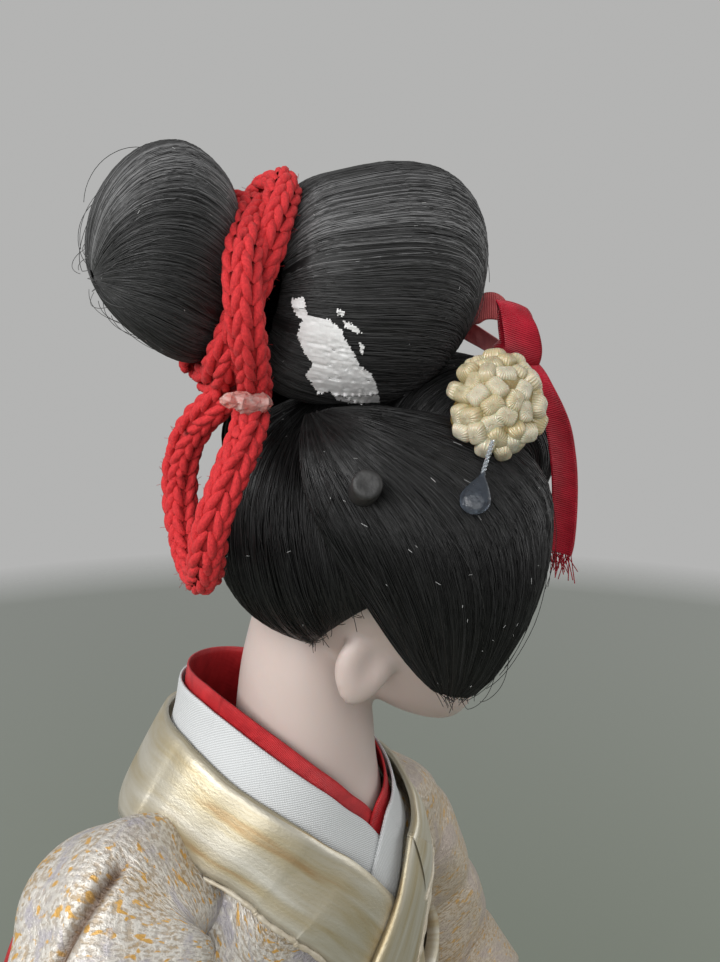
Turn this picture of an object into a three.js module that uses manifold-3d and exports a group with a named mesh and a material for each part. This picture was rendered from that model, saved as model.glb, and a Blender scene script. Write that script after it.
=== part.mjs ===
// A kimono doll on a lacquered base: bowed head with a shimada wig, crossed collars, brocade kimono.
// Millimetres, +Z up, the doll's front towards -Y, its right hand towards -X.
// The origin is the middle of the underside of the base.
import * as THREE from 'three';
import { mergeVertices } from 'three/addons/utils/BufferGeometryUtils.js';
import Module from 'manifold-3d';

const wasm = await Module();
wasm.setup();

// Clearances
const GAP = 0.3;
const RUNNING_GAP = 0.4;

// Base
const FELT_THICKNESS = 1;
const FELT_INSET = 2;
const BOARD_THICKNESS = 16;
const BOARD_WIDTH = 130;
const BOARD_DEPTH = 116;
const BOARD_CORNER = 9;
const BOARD_CHAMFER = 2.5;

// Legs and feet
const LEG_SPACING = 23;
const LEG_Y = -12;
const LEG_ROD_DIAMETER = 6;
const LEG_ROD_DEPTH = 13;
const LEG_ROD_HEIGHT = 62;
const SOLE_LENGTH = 44;
const SOLE_WIDTH = 15;
const SOLE_THICKNESS = 3.6;
const SOLE_Y = -24;
const FOOT_LENGTH = 38;
const FOOT_WIDTH = 12;
const FOOT_HEIGHT = 9;
const STRAP_DIAMETER = 2.2;

// Body, measured above the top of the base board
const SKIRT_TOP = 186;
const SKIRT_WALL = 2;
const BODICE_WALL = 1.5;
const HEM_HEIGHT = 5.4;
const HEM_RISE_IN_FRONT = 11;
const HEM_ROLL_DIAMETER = 4.6;
const SKIRT_FOLDS = 9;
const SKIRT_FOLD_DEPTH = 1.7;
const SKIRT_FOLD_HEIGHT = 150;
const PANEL_THICKNESS = 1.2;
const PANEL_LIFT = 0.7;
const CORE_BOTTOM = 24;
const CORE_SLACK = 0.9;

// Obi, its cord and its knot at the back
const OBI_BOTTOM = 179;
const OBI_TOP = 228;
const OBI_WALL = 2.4;
const OBI_CORD_DIAMETER = 3.4;
const OBI_CORD_Z = 203;
const DRUM_WIDTH = 46;
const DRUM_HEIGHT = 48;
const DRUM_DEPTH = 30;
const DRUM_Z = 205;
const PAD_DIAMETER = 11;
const TAIL_WIDTH = 38;
const TAIL_LENGTH = 46;
const TAIL_THICKNESS = 4;
const TAIL_LEAN = 6;
const TAIL_STAND_OFF = 3;

// Collars, as bands below the top edge of the red one
const RED_BAND = 5;
const RED_SHOWN = 1.4;
const WHITE_SHOWN = 4.8;
const WHITE_TUCK = 2.5;
const GOLD_BAND = 11;
const GOLD_NAPE_BAND = 8.5;
const COLLAR_TILT = 3;
const COLLAR_THICKNESS = 0.6;
const GOLD_THICKNESS = 1;

// Head, neck and the turning plug under the neck
const HEAD_X = 7;
const HEAD_Y = -5;
const HEAD_Z = 301;
const HEAD_TURN = 58;
const HEAD_BOW = 14;
const NECK_Y = 1;
const NECK_RADIUS = 9.4;
const NECK_FLARE_RADIUS = 11.2;
const NECK_FOOT = 257.6;
const NECK_TOP = 291;
const PLUG_RADIUS = 7;
const PLUG_BOTTOM = 238;
const BUSH_WALL = 2;
const BUSH_HEIGHT = 16;
const EAR_HEIGHT = 12;

// Wig
const HAIR_SHELL = 2.2;
const TRIM_REACH = 60;
const BACK_HAIR_FRONT = -5;
const NAPE_SLOPE = -47;
const NAPE_Y = 4;
const NAPE_Z = -5;
const HAIRLINE = 8;
const PEG_DIAMETER = 4.5;
const PEG_LENGTH = 9;

// Knitted cord round the topknot, its loop and the glue on it
const CORD_DIAMETER = 4.5;
const CORD_SELF_GAP = 0.45;
const WINDING_STEPS = 24;
const WINDING_SIDES = 6;
const LOOP_STEPS = 30;
const LOOP_SIDES = 8;
const GLUE_LENGTH = 8;
const GLUE_WIDTH = 3.6;

// Flower, its pin and the glass drop that hangs under it
const FLOWER_RADIUS = 7.3;
const FLOWER_DOME = 4.2;
const PETAL_COUNT = 15;
const PETAL_RADIUS = 2.5;
const DISC_RADIUS = 4.6;
const DISC_THICKNESS = 1;
const PIN_DIAMETER = 1.6;
const PIN_LENGTH = 6.8;
const LINK_DIAMETER = 0.9;
const LINK_LENGTH = 3.6;
const LINK_RISE = 2.6;
const LINK_RIM_TURN = -24;
const DROP_LENGTH = 6.2;
const DROP_DIAMETER = 4.2;

// Ribbon bow
const RIBBON_WIDTH = 5.4;
const RIBBON_THICKNESS = 0.7;
const RIBBON_KNOT = 5;

// Arms, sleeves and hands
const ARM_DIAMETER = 7;
const WRIST_PIN_DIAMETER = 3;
const WRIST_PIN_LENGTH = 5;
const SLEEVE_WALL = 2;
const LINING_THICKNESS = 1;
const LINING_PROUD = 0.8;
const MOUTH_DEPTH = 10;
const BAG_DROP = 92;
const BAG_THICKNESS = 13;
const BAG_FOLDS = 3;
const BAG_FOLD_DEPTH = 0.22;
const BAG_LENGTH = 28;
const HAND_LENGTH = 19;
const HAND_WIDTH = 8;
const HAND_THICKNESS = 4.4;

const DECK = FELT_THICKNESS + BOARD_THICKNESS;
const FULL_TURN = 2 * Math.PI;
const RADIANS = Math.PI / 180;

// Half sizes of the dressed body: height, side, front, back, middle in y
const BODY_ROWS = [
  [0, 47, 40, 42, 2],
  [14, 43, 36.5, 38.5, 2],
  [40, 37, 31.5, 33, 2],
  [85, 32.5, 27.5, 29, 2],
  [130, 30.5, 25, 27, 2],
  [160, 28.5, 22.5, 25, 2],
  [186, 24, 17.5, 19.5, 3],
  [205, 24.5, 15.5, 18, 3],
  [228, 28.5, 15, 19, 3],
  [243, 30.5, 15, 19.5, 3],
  [250, 27.5, 14.8, 19.5, 3.2],
  [254.5, 23, 14.8, 19, 3.4],
  [258, 19, 15, 18, 3.6],
  [261, 16, 15.2, 16.6, 3.8],
  [264, 14.2, 15, 15.4, 4],
];

// Half sizes of the surface that the collars lie on: height, side, front, back, middle in y
const COLLAR_ROWS = [
  [222, 24, 17.5, 22, 5.5],
  [238, 22.5, 17.9, 21.5, 5.5],
  [250, 21.5, 18.4, 20.5, 5.5],
  [262, 18.2, 17.3, 18.6, 5.5],
  [273, 12.9, 17.4, 16.6, 5.5],
  [282, 11.4, 17.5, 15, 5.5],
];

// Top edge of the red collar from the right front end round the nape to the left front end:
// degrees from the nape towards the doll's right, height
const COLLAR_EDGE = [
  [238, 227], [226, 234], [212, 242], [197, 250.5], [180, 259.4], [165, 265], [150, 269.6],
  [120, 275.2], [90, 277.4], [60, 278.4], [0, 278.6], [-60, 276.4], [-90, 272.2], [-120, 268.6],
  [-150, 264.8], [-165, 262.4], [-180, 259.4], [-197, 250.5], [-212, 242], [-226, 234], [-238, 227],
];

// Half sizes of the head in its own frame: height, side, front y, back y
const HEAD_ROWS = [
  [-25.4, 3.2, -19.5, -14],
  [-24, 7, -21.2, -8],
  [-20.5, 11.5, -21.8, -1],
  [-15, 15, -21.8, 6],
  [-8, 18.4, -21.4, 13.5],
  [0, 19.4, -20.6, 16.6],
  [6, 18.6, -19.2, 16.4],
  [11, 15.8, -16, 14],
  [14.8, 11, -10.8, 10],
  [17, 4, -4, 4.4],
];

// Right wing of the wig in the head frame: x, y, z of the middle, half width, half thickness
const WING_ROWS = [
  [-12.5, 8, 16.6, 9.5, 2.8],
  [-18, 7, 15.2, 13, 4.2],
  [-22.8, 5.8, 12.2, 15, 5.2],
  [-26.8, 4, 6.8, 15.2, 6],
  [-29, 2.2, -0.8, 11.8, 5.4],
  [-29.2, 0.9, -6.4, 7.4, 4.2],
  [-28.8, 0.2, -9.8, 4, 2.7],
  [-28.5, 0, -11.4, 1.4, 1],
];

// Topknot in the head frame, front lobe then back lobe: y, half width, half height, middle height
const WAIST_Y = 26.4;
const FRONT_LOBE_ROWS = [
  [-8, 2.6, 3, 36],
  [-7, 6.8, 8, 35.6],
  [-3.6, 11, 13.2, 35.2],
  [2.6, 13.6, 16.2, 34.8],
  [10, 13.4, 15.8, 34],
  [16.8, 12, 14.4, 32.4],
  [20.2, 9.8, 11.8, 31],
  [21.3, 7, 8.8, 30],
  [WAIST_Y - 0.2, 7, 8.8, 30],
];
const BACK_LOBE_ROWS = [
  [WAIST_Y + 0.2, 7, 8.8, 30],
  [31.4, 7, 8.8, 30],
  [32.2, 9.6, 10.8, 31],
  [36, 12, 12.8, 32.6],
  [40.6, 10.6, 11.4, 33.2],
  [44, 6.8, 7.6, 33.4],
  [45.6, 2.2, 2.6, 33.4],
];

// Bald patch on the front lobe's right side, in the head frame: y, z
const PATCH_OUTLINE = [
  [22, 30.6], [17.6, 29.4], [14.6, 26.4], [10, 21.6], [10.4, 19], [15, 18.8], [19.4, 23.4],
];

// Hanging loop of the cord in the head frame
const LOOP_ROUTE = [
  [-6.4, 24.2, 12.9], [-9.6, 25, 12.6], [-12.6, 26.4, 9.6], [-14.6, 28, 5.4], [-15.1, 28.8, 1],
  [-14, 28.4, -3.4], [-11.2, 27.2, -6.8], [-7, 26.6, -8.3], [-2.8, 27, -6.9], [0.2, 28, -3.3],
  [1.3, 29, 1.2], [0.7, 29.6, 6], [-1, 29.2, 9.8], [-2.6, 28, 12.1],
];

// Sleeves down to their mouths: x, y, z, radius. The arm goes on to the wrist.
const RIGHT_SLEEVE = [
  [-22, 8, 253.5, 11.5], [-31, 9.5, 252, 14], [-41, 6, 243, 15.4], [-46, -4, 224, 14.4],
  [-44, -16, 212, 12.4],
];
const RIGHT_WRIST = [[-40, -25, 207.5], [-35.5, -32.5, 205]];
const LEFT_SLEEVE = [
  [22, 5.5, 245, 11.5], [30, 7, 239, 13], [36.6, 5.5, 226, 13.4], [41, 1, 211, 13],
  [41.5, -8, 202, 11.4],
];
const LEFT_WRIST = [[38.5, -18, 198.5], [33.5, -27, 196.5]];

// Shares along a piece and of its full size there
const FOOT_ROWS = [
  [0, 0.45, 0.3], [0.12, 0.85, 0.62], [0.35, 1, 0.8], [0.6, 0.86, 1], [0.85, 0.8, 1.15], [1, 0.5, 0.9],
];
const DRUM_ROWS = [[0, 0.88], [0.1, 0.98], [0.5, 1], [0.85, 0.97], [0.97, 0.88], [1, 0.76]];
const BAG_ROWS = [[0, 0.9, 0.95], [0.15, 1.05, 0.8], [0.5, 1.14, 0.73], [0.94, 1.2, 0.7], [1, 1.12, 0.45]];
const HAND_ROWS = [
  [0, 0.62, 0.95], [0.12, 0.6, 0.9], [0.35, 0.95, 1], [0.55, 1, 0.85], [0.8, 0.8, 0.6], [0.96, 0.5, 0.4],
  [1, 0.2, 0.2],
];
const THUMB_ROWS = [[0.3, 0.25, 1.3], [0.45, 0.5, 1.2], [0.62, 0.55, 0.8]];
const DROP_ROWS = [
  [0, 0.12], [0.1, 0.2], [0.3, 0.52], [0.55, 0.9], [0.72, 1], [0.88, 0.78], [0.97, 0.4], [1, 0.1],
];
const BOW_ROWS = [
  [0.25, -0.1], [0.55, -0.42], [0.9, -0.2], [1, 0.15], [0.82, 0.52], [0.5, 0.46], [0.25, 0.13],
];

// Small tools

const at = (x, y, z) => new THREE.Vector3(x, y, z);

const mix = (a, b, share) => a + (b - a) * share;

// Bends the round ring of sines and cosines towards a box
const boxy = (value, power) => Math.sign(value) * Math.abs(value) ** power;

function material(color, roughness, metalness = 0) {
  return new THREE.MeshStandardMaterial({ color, roughness, metalness });
}

function piece(name, geometry, look) {
  const mesh = new THREE.Mesh(geometry, look);
  mesh.name = name;
  return mesh;
}

// The row of a table at a height, straight between its rows
function rowAt(rows, height) {
  let upper = rows.findIndex((row) => row[0] >= height);
  if (upper < 0) upper = rows.length - 1;
  if (upper === 0) upper = 1;
  const low = rows[upper - 1];
  const high = rows[upper];
  const share = THREE.MathUtils.clamp((height - low[0]) / (high[0] - low[0]), 0, 1);
  return low.map((value, column) => mix(value, high[column], share));
}

// An even ring whose point i mirrors point count-1-i, so that a ladder of faces closes it
function ovalRing(count, place) {
  return Array.from({ length: count }, (_, i) => {
    const angle = (FULL_TURN * (i + 0.5)) / count;
    return place(Math.cos(angle), Math.sin(angle), angle);
  });
}

function signedVolume(points, faces) {
  const cross = new THREE.Vector3();
  return faces.reduce((sum, [a, b, c]) =>
    sum + cross.crossVectors(points[b], points[c]).dot(points[a]), 0) / 6;
}

function geometryFrom(points, faces) {
  const flipped = signedVolume(points, faces) < 0;
  const order = faces.map(([a, b, c]) => (flipped ? [a, c, b] : [a, b, c]));
  const geometry = new THREE.BufferGeometry().setFromPoints(points);
  geometry.setIndex(order.flat());
  return geometry;
}

// A skin over rings of equal count. An open row of rings gets ladder caps, a closed one goes round.
function loft(rings, closed = false) {
  const count = rings[0].length;
  const points = rings.flat();
  const faces = [];
  const spans = closed ? rings.length : rings.length - 1;
  for (let r = 0; r < spans; r += 1) {
    const here = r * count;
    const next = ((r + 1) % rings.length) * count;
    for (let i = 0; i < count; i += 1) {
      const j = (i + 1) % count;
      faces.push([here + i, here + j, next + j], [here + i, next + j, next + i]);
    }
  }
  if (!closed) {
    const last = (rings.length - 1) * count;
    for (let i = 0; i < count / 2 - 1; i += 1) {
      const back = count - 1 - i;
      faces.push([i, back - 1, i + 1], [i, back, back - 1]);
      faces.push([last + i, last + i + 1, last + back - 1], [last + i, last + back - 1, last + back]);
    }
  }
  return geometryFrom(points, faces);
}

// A wall between an outer and an inner row of rings, open at both ends
const wallOf = (outer, inner) => loft([...outer, ...inner.slice().reverse()], true);

function ellipsoid(centre, half, columns = 20, rows = 12) {
  const geometry = new THREE.SphereGeometry(1, columns, rows);
  geometry.rotateX(Math.PI / 2);
  geometry.scale(half.x, half.y, half.z);
  return geometry.translate(centre.x, centre.y, centre.z);
}

function box(low, high) {
  const size = high.clone().sub(low);
  const middle = low.clone().add(high).multiplyScalar(0.5);
  return new THREE.BoxGeometry(size.x, size.y, size.z).translate(middle.x, middle.y, middle.z);
}

// A round bar between two points
function bar(from, to, radius, sides = 12) {
  const along = to.clone().sub(from);
  const geometry = new THREE.CylinderGeometry(radius, radius, along.length(), sides);
  const turn = new THREE.Quaternion().setFromUnitVectors(at(0, 1, 0), along.clone().normalize());
  const middle = from.clone().add(to).multiplyScalar(0.5);
  return geometry.applyQuaternion(turn).translate(middle.x, middle.y, middle.z);
}

// A round tube along a curve, with a flat end at each end
function tube(curve, radius, steps, sides) {
  const section = new THREE.Shape(
    Array.from({ length: sides }, (_, i) => {
      const angle = (FULL_TURN * i) / sides;
      return new THREE.Vector2(radius * Math.cos(angle), radius * Math.sin(angle));
    }),
  );
  return new THREE.ExtrudeGeometry(section, { steps, bevelEnabled: false, extrudePath: curve });
}

const curveThrough = (rows) => new THREE.CatmullRomCurve3(rows.map(([x, y, z]) => at(x, y, z)));

// A limb that swells and tapers along its rows of x, y, z, radius
function limbRings(rows, grow, count = 12, steps = 9) {
  const curve = curveThrough(rows);
  const frames = curve.computeFrenetFrames(steps, false);
  return Array.from({ length: steps + 1 }, (_, step) => {
    const share = step / steps;
    const spot = Math.min(share * (rows.length - 1), rows.length - 1.001);
    const radius = mix(rows[Math.floor(spot)][3], rows[Math.floor(spot) + 1][3], spot % 1) + grow;
    const centre = curve.getPoint(share);
    const normal = frames.normals[step];
    const binormal = frames.binormals[step];
    return ovalRing(count, (c, s) =>
      centre.clone().addScaledVector(normal, c * radius).addScaledVector(binormal, s * radius));
  });
}

// Cutting and joining

function solid(geometry) {
  const bare = geometry.clone();
  bare.deleteAttribute('normal');
  bare.deleteAttribute('uv');
  const welded = mergeVertices(bare, 1e-4);
  const index = Array.from(welded.index.array);
  const faces = [];
  for (let i = 0; i < index.length; i += 3) {
    const [a, b, c] = index.slice(i, i + 3);
    if (a !== b && b !== c && c !== a) faces.push(a, b, c);
  }
  const mesh = new wasm.Mesh({
    numProp: 3,
    vertProperties: new Float32Array(welded.attributes.position.array),
    triVerts: new Uint32Array(faces),
  });
  return new wasm.Manifold(mesh);
}

// The largest connected body of a cut result, so that stray slivers are dropped
function geometryOf(result) {
  const mesh = result.getMesh();
  const owner = Array.from({ length: mesh.numVert }, (_, i) => i);
  const find = (i) => {
    let root = i;
    while (owner[root] !== root) root = owner[root];
    owner[i] = root;
    return root;
  };
  const triangles = [];
  for (let i = 0; i < mesh.triVerts.length; i += 3) {
    const [a, b, c] = mesh.triVerts.slice(i, i + 3);
    owner[find(a)] = find(b);
    owner[find(b)] = find(c);
    triangles.push([a, b, c]);
  }
  const points = Array.from({ length: mesh.numVert }, (_, i) =>
    at(...mesh.vertProperties.slice(i * mesh.numProp, i * mesh.numProp + 3)));
  const groups = new Map();
  triangles.forEach((triangle) => {
    const root = find(triangle[0]);
    groups.set(root, [...(groups.get(root) ?? []), triangle]);
  });
  const bodies = [...groups.values()];
  bodies.sort((one, other) => signedVolume(points, other) - signedVolume(points, one));
  const geometry = new THREE.BufferGeometry().setFromPoints(points);
  geometry.setIndex(bodies[0].flat());
  return geometry;
}

const cut = (geometry, ...tools) =>
  geometryOf(tools.reduce((left, tool) => left.subtract(solid(tool)), solid(geometry)));

const join = (...geometries) =>
  geometryOf(geometries.slice(1).reduce((sum, next) => sum.add(solid(next)), solid(geometries[0])));

// Base

function boardRing(inset, z) {
  const halfWidth = BOARD_WIDTH / 2 - inset;
  const halfDepth = BOARD_DEPTH / 2 - inset;
  const corner = Math.max(BOARD_CORNER - inset, 1);
  const cornerSteps = 5;
  const ring = [];
  for (let quarter = 0; quarter < 4; quarter += 1) {
    for (let step = 0; step < cornerSteps; step += 1) {
      const angle = (quarter + step / (cornerSteps - 1)) * (Math.PI / 2);
      const signX = quarter === 0 || quarter === 3 ? 1 : -1;
      const signY = quarter < 2 ? 1 : -1;
      const x = signX * (halfWidth - corner) + corner * Math.cos(angle);
      const y = signY * (halfDepth - corner) + corner * Math.sin(angle);
      ring.push(at(x, y, z));
    }
  }
  return ring;
}

function boardGeometry() {
  const block = loft([
    boardRing(0, FELT_THICKNESS),
    boardRing(0, DECK - BOARD_CHAMFER),
    boardRing(BOARD_CHAMFER, DECK),
  ]);
  return cut(block, ...[-1, 1].map((side) => legRod(side, GAP).translate(0, 0, DECK)));
}

const feltGeometry = () => loft([boardRing(FELT_INSET, 0), boardRing(FELT_INSET, FELT_THICKNESS)]);

// Legs and feet, above the deck

function legRod(side, grow) {
  const x = (side * LEG_SPACING) / 2;
  const radius = LEG_ROD_DIAMETER / 2 + grow;
  return bar(at(x, LEG_Y, -LEG_ROD_DEPTH - grow), at(x, LEG_Y, LEG_ROD_HEIGHT + grow), radius);
}

function soleGeometry(side) {
  const x = (side * LEG_SPACING) / 2;
  const ring = (z) => ovalRing(20, (c, s) => {
    const waist = 1 - 0.12 * s * s;
    return at(x + (SOLE_WIDTH / 2) * waist * boxy(c, 0.6), SOLE_Y + (SOLE_LENGTH / 2) * s, z);
  });
  return cut(loft([ring(GAP), ring(GAP + SOLE_THICKNESS)]), legRod(side, GAP));
}

function footForm(side, grow) {
  const x = (side * LEG_SPACING) / 2;
  const bottom = 2 * GAP + SOLE_THICKNESS;
  const toe = SOLE_Y - FOOT_LENGTH / 2;
  return loft(FOOT_ROWS.map(([share, wide, high]) => ovalRing(12, (c, s) => {
    const half = (FOOT_HEIGHT * high) / 2;
    const lift = Math.max(s * half, -half * 0.8);
    return at(x + c * ((FOOT_WIDTH / 2) * wide + grow), toe + share * FOOT_LENGTH,
      bottom + half * 0.8 + lift + (s > 0 ? grow : -grow) * Math.abs(s));
  })));
}

const footGeometry = (side) => cut(footForm(side, 0), legRod(side, GAP));

function strapGeometry(side) {
  const x = (side * LEG_SPACING) / 2;
  const spread = SOLE_WIDTH / 2 - STRAP_DIAMETER;
  const foot = 2 * GAP + SOLE_THICKNESS;
  const middle = foot + FOOT_HEIGHT * 0.45;
  const top = foot + FOOT_HEIGHT * 0.84;
  const path = curveThrough([
    [x - spread - 0.4, SOLE_Y + 2, foot + STRAP_DIAMETER / 2], [x - spread, SOLE_Y, middle],
    [x - spread / 2, SOLE_Y - 3, top], [x, SOLE_Y - 5, top + 0.4], [x + spread / 2, SOLE_Y - 3, top],
    [x + spread, SOLE_Y, middle], [x + spread + 0.4, SOLE_Y + 2, foot + STRAP_DIAMETER / 2],
  ]);
  return cut(tube(path, STRAP_DIAMETER / 2, 12, 6), footForm(side, GAP));
}

// Surfaces of the dressed body: angle from the back towards the doll's right, height, offset outwards

function surfacePoint(rows, angle, height, offset) {
  const [, side, front, back, middle] = rowAt(rows, height);
  const depth = Math.cos(angle) > 0 ? back : front;
  return at(-(side + offset) * Math.sin(angle), middle + (depth + offset) * Math.cos(angle), height);
}

// The collars sit a little higher on the doll's right shoulder
const collarPoint = (angle, height, offset) =>
  surfacePoint(COLLAR_ROWS, angle, height - COLLAR_TILT * Math.sin(angle), offset).setZ(height);

function skirtFold(angle, height) {
  const fade = THREE.MathUtils.clamp(1 - height / SKIRT_FOLD_HEIGHT, 0, 1);
  return SKIRT_FOLD_DEPTH * fade * Math.cos(SKIRT_FOLDS * angle + 1.2 * Math.sin(angle));
}

const bodyPoint = (angle, height, offset) =>
  surfacePoint(BODY_ROWS, angle, height, offset + skirtFold(angle, height));

const frontShare = (angle) => Math.max(0, -Math.cos(angle)) ** 3;

const hemHeight = (angle) => HEM_HEIGHT + HEM_RISE_IN_FRONT * frontShare(angle);

function skirtRings(offset, levels) {
  return Array.from({ length: levels + 1 }, (_, level) => ovalRing(30, (c, s, angle) => {
    const share = (level / levels) ** 1.4;
    return bodyPoint(angle, mix(hemHeight(angle), SKIRT_TOP, share), offset);
  }));
}

const skirtGeometry = () => wallOf(skirtRings(0, 6), skirtRings(-SKIRT_WALL, 6));

// The left front panel laps over the right one down to the hem
function panelGeometry() {
  const startAngle = 152 * RADIANS;
  const endAngle = 268 * RADIANS;
  const across = 12;
  const levels = 7;
  const top = OBI_BOTTOM - GAP;
  const edge = (angle, level, offset) => {
    const share = (level / levels) ** 1.4;
    return bodyPoint(angle, mix(hemHeight(angle) + GAP, top, share), offset);
  };
  const rings = Array.from({ length: levels + 1 }, (_, level) => {
    const angles = Array.from({ length: across + 1 }, (_unused, i) =>
      mix(startAngle, endAngle, i / across));
    const inner = angles.map((angle) => edge(angle, level, PANEL_LIFT));
    const outer = angles.map((angle) => edge(angle, level, PANEL_LIFT + PANEL_THICKNESS));
    return [...inner, ...outer.reverse()];
  });
  return loft(rings);
}

function hemRollGeometry() {
  const radius = HEM_ROLL_DIAMETER / 2;
  const steps = 36;
  const rings = Array.from({ length: steps }, (_, step) => {
    const angle = (FULL_TURN * step) / steps;
    const height = hemHeight(angle) - GAP - radius;
    const centre = bodyPoint(angle, height, -SKIRT_WALL / 2);
    const out = at(-Math.sin(angle), Math.cos(angle), 0);
    return ovalRing(6, (c, s) => centre.clone().addScaledVector(out, c * radius).add(at(0, 0, s * radius)));
  });
  return loft(rings, true);
}

function bodyCoreGeometry() {
  const levels = [CORE_BOTTOM, 40, 85, 130, 160, SKIRT_TOP, 205, 228, 243, 250, NECK_FOOT - 1];
  const rings = levels.map((height) => ovalRing(20, (c, s, angle) => {
    const wall = height <= SKIRT_TOP ? SKIRT_WALL : BODICE_WALL;
    const slack = height < SKIRT_TOP ? SKIRT_FOLD_DEPTH * (1 - height / SKIRT_TOP) + CORE_SLACK : 0;
    return surfacePoint(BODY_ROWS, angle, height, -wall - GAP - slack);
  }));
  const bushRadius = PLUG_RADIUS + RUNNING_GAP + BUSH_WALL + GAP;
  const bushSpace = bushBar(bushRadius, PLUG_BOTTOM - RUNNING_GAP - GAP, NECK_FOOT);
  return cut(loft(rings), bushSpace, ...[-1, 1].map((side) => legRod(side, GAP)),
    ...[-1, 1].map((side) => armTube(side, GAP)));
}

function bushBar(radius, low, high) {
  return bar(at(0, NECK_Y, low), at(0, NECK_Y, high), radius, 24);
}

function bushGeometry() {
  const inner = PLUG_RADIUS + RUNNING_GAP;
  const top = NECK_FOOT - 1;
  const ring = bushBar(inner + BUSH_WALL, top - BUSH_HEIGHT, top);
  return cut(ring, bushBar(inner, top - BUSH_HEIGHT - 1, top + 1));
}

function bodiceGeometry() {
  const levels = [SKIRT_TOP + GAP, 205, 228, 243, 250, 254.5, 258, 261, 264];
  const rings = (offset) => levels.map((height) =>
    ovalRing(20, (c, s, angle) => bodyPoint(angle, height, offset)));
  const neckSpace = bushBar(NECK_FLARE_RADIUS + RUNNING_GAP, OBI_TOP, NECK_TOP);
  return cut(wallOf(rings(0), rings(-BODICE_WALL)), goldBand(GAP), neckSpace,
    ...[-1, 1].map((side) => armTube(side, GAP)));
}

// Collars: bands on their own surface, the left front over the right front

function collarBand({ upper, lower, napeLower, rightOffset, leftOffset, thickness, reach, grow }) {
  const edge = new THREE.CatmullRomCurve3(
    COLLAR_EDGE.map(([degrees, height]) => at(degrees * RADIANS, height, 0)));
  const stations = 36;
  const across = 2;
  const delta = 1e-3;
  const rings = [];
  for (let station = 0; station <= stations; station += 1) {
    const here = edge.getPoint(mix(reach, 1 - reach, station / stations));
    const ahead = edge.getPoint(mix(reach, 1 - reach, station / stations) + delta);
    const leftward = THREE.MathUtils.smoothstep(-here.x, -Math.PI / 3, Math.PI / 3);
    const offset = mix(rightOffset, leftOffset, leftward) - grow;
    const spot = (angle, height) => collarPoint(angle, height, offset);
    const origin = spot(here.x, here.y);
    const along = spot(ahead.x, ahead.y).sub(origin).normalize();
    const perAngle = spot(here.x + delta, here.y).sub(origin).divideScalar(delta);
    const perHeight = spot(here.x, here.y + delta).sub(origin).divideScalar(delta);
    const lean = perHeight.dot(along) / perAngle.dot(along);
    const step = perAngle.clone().multiplyScalar(lean).sub(perHeight).length();
    const place = (width, extra) => collarPoint(
      here.x + (lean * width) / step, here.y - width / step, offset + extra);
    const frontward = THREE.MathUtils.smoothstep(Math.abs(here.x), Math.PI / 3, (2 * Math.PI) / 3);
    const bottom = mix(napeLower ?? lower, lower, frontward) + grow;
    const widths = Array.from({ length: across + 1 }, (_, i) => mix(upper - grow, bottom, i / across));
    const inner = widths.map((width) => place(width, 0));
    const outer = widths.map((width) => place(width, thickness + 2 * grow));
    rings.push([...inner, ...outer.reverse()]);
  }
  return loft(rings);
}

const LAYER = COLLAR_THICKNESS + GAP;
const WHITE_LOWER = RED_SHOWN + WHITE_SHOWN + WHITE_TUCK;
const GOLD_UPPER = RED_SHOWN + WHITE_SHOWN;

const redBand = (grow) => collarBand({
  upper: 0, lower: RED_BAND, rightOffset: 0, leftOffset: 2 * LAYER,
  thickness: COLLAR_THICKNESS, reach: 0.15, grow,
});
const whiteBand = (grow) => collarBand({
  upper: RED_SHOWN, lower: WHITE_LOWER, rightOffset: LAYER, leftOffset: 3 * LAYER,
  thickness: COLLAR_THICKNESS, reach: 0.13, grow,
});
const goldBand = (grow) => collarBand({
  upper: GOLD_UPPER, lower: GOLD_UPPER + GOLD_BAND, napeLower: GOLD_UPPER + GOLD_NAPE_BAND,
  rightOffset: 4 * LAYER, leftOffset: 4 * LAYER + GOLD_THICKNESS + GAP,
  thickness: GOLD_THICKNESS, reach: 0.03, grow,
});
const goldGeometry = () => cut(goldBand(0), obiForm(GAP));

// Obi

const OBI_LEVELS = [OBI_BOTTOM, 186, 205, OBI_TOP];

const obiRings = (offset, grow) => OBI_LEVELS.map((height, level) => {
  const end = level === 0 ? -grow : 0;
  const top = level === OBI_LEVELS.length - 1 ? grow : 0;
  return ovalRing(24, (c, s, angle) => bodyPoint(angle, height, offset + grow).add(at(0, 0, end + top)));
});

const OBI_INNER = GAP + 0.6;

const obiForm = (grow) => loft(obiRings(OBI_INNER + OBI_WALL, grow));

const obiGeometry = () => wallOf(obiRings(OBI_INNER + OBI_WALL, 0), obiRings(OBI_INNER, 0));

function obiCordForm(grow) {
  const radius = OBI_CORD_DIAMETER / 2 + grow;
  const offset = OBI_INNER + OBI_WALL + GAP + OBI_CORD_DIAMETER / 2;
  const rings = ovalRing(32, (c, s, angle) => {
    const centre = bodyPoint(angle, OBI_CORD_Z, offset);
    const out = at(-Math.sin(angle), Math.cos(angle), 0);
    return ovalRing(6, (across, up) =>
      centre.clone().addScaledVector(out, across * radius).add(at(0, 0, up * radius)));
  });
  return loft(rings, true);
}

const obiCordGeometry = () => cut(obiCordForm(0), drumForm(GAP));

function obiKnotForm() {
  const front = bodyPoint(Math.PI, OBI_CORD_Z, OBI_INNER + OBI_WALL + GAP + OBI_CORD_DIAMETER / 2);
  const half = at(5, OBI_CORD_DIAMETER * 0.8, OBI_CORD_DIAMETER * 0.95);
  return ellipsoid(front, half, 12, 8);
}

const obiKnotGeometry = () => cut(obiKnotForm(), obiForm(GAP), obiCordForm(GAP));

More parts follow.
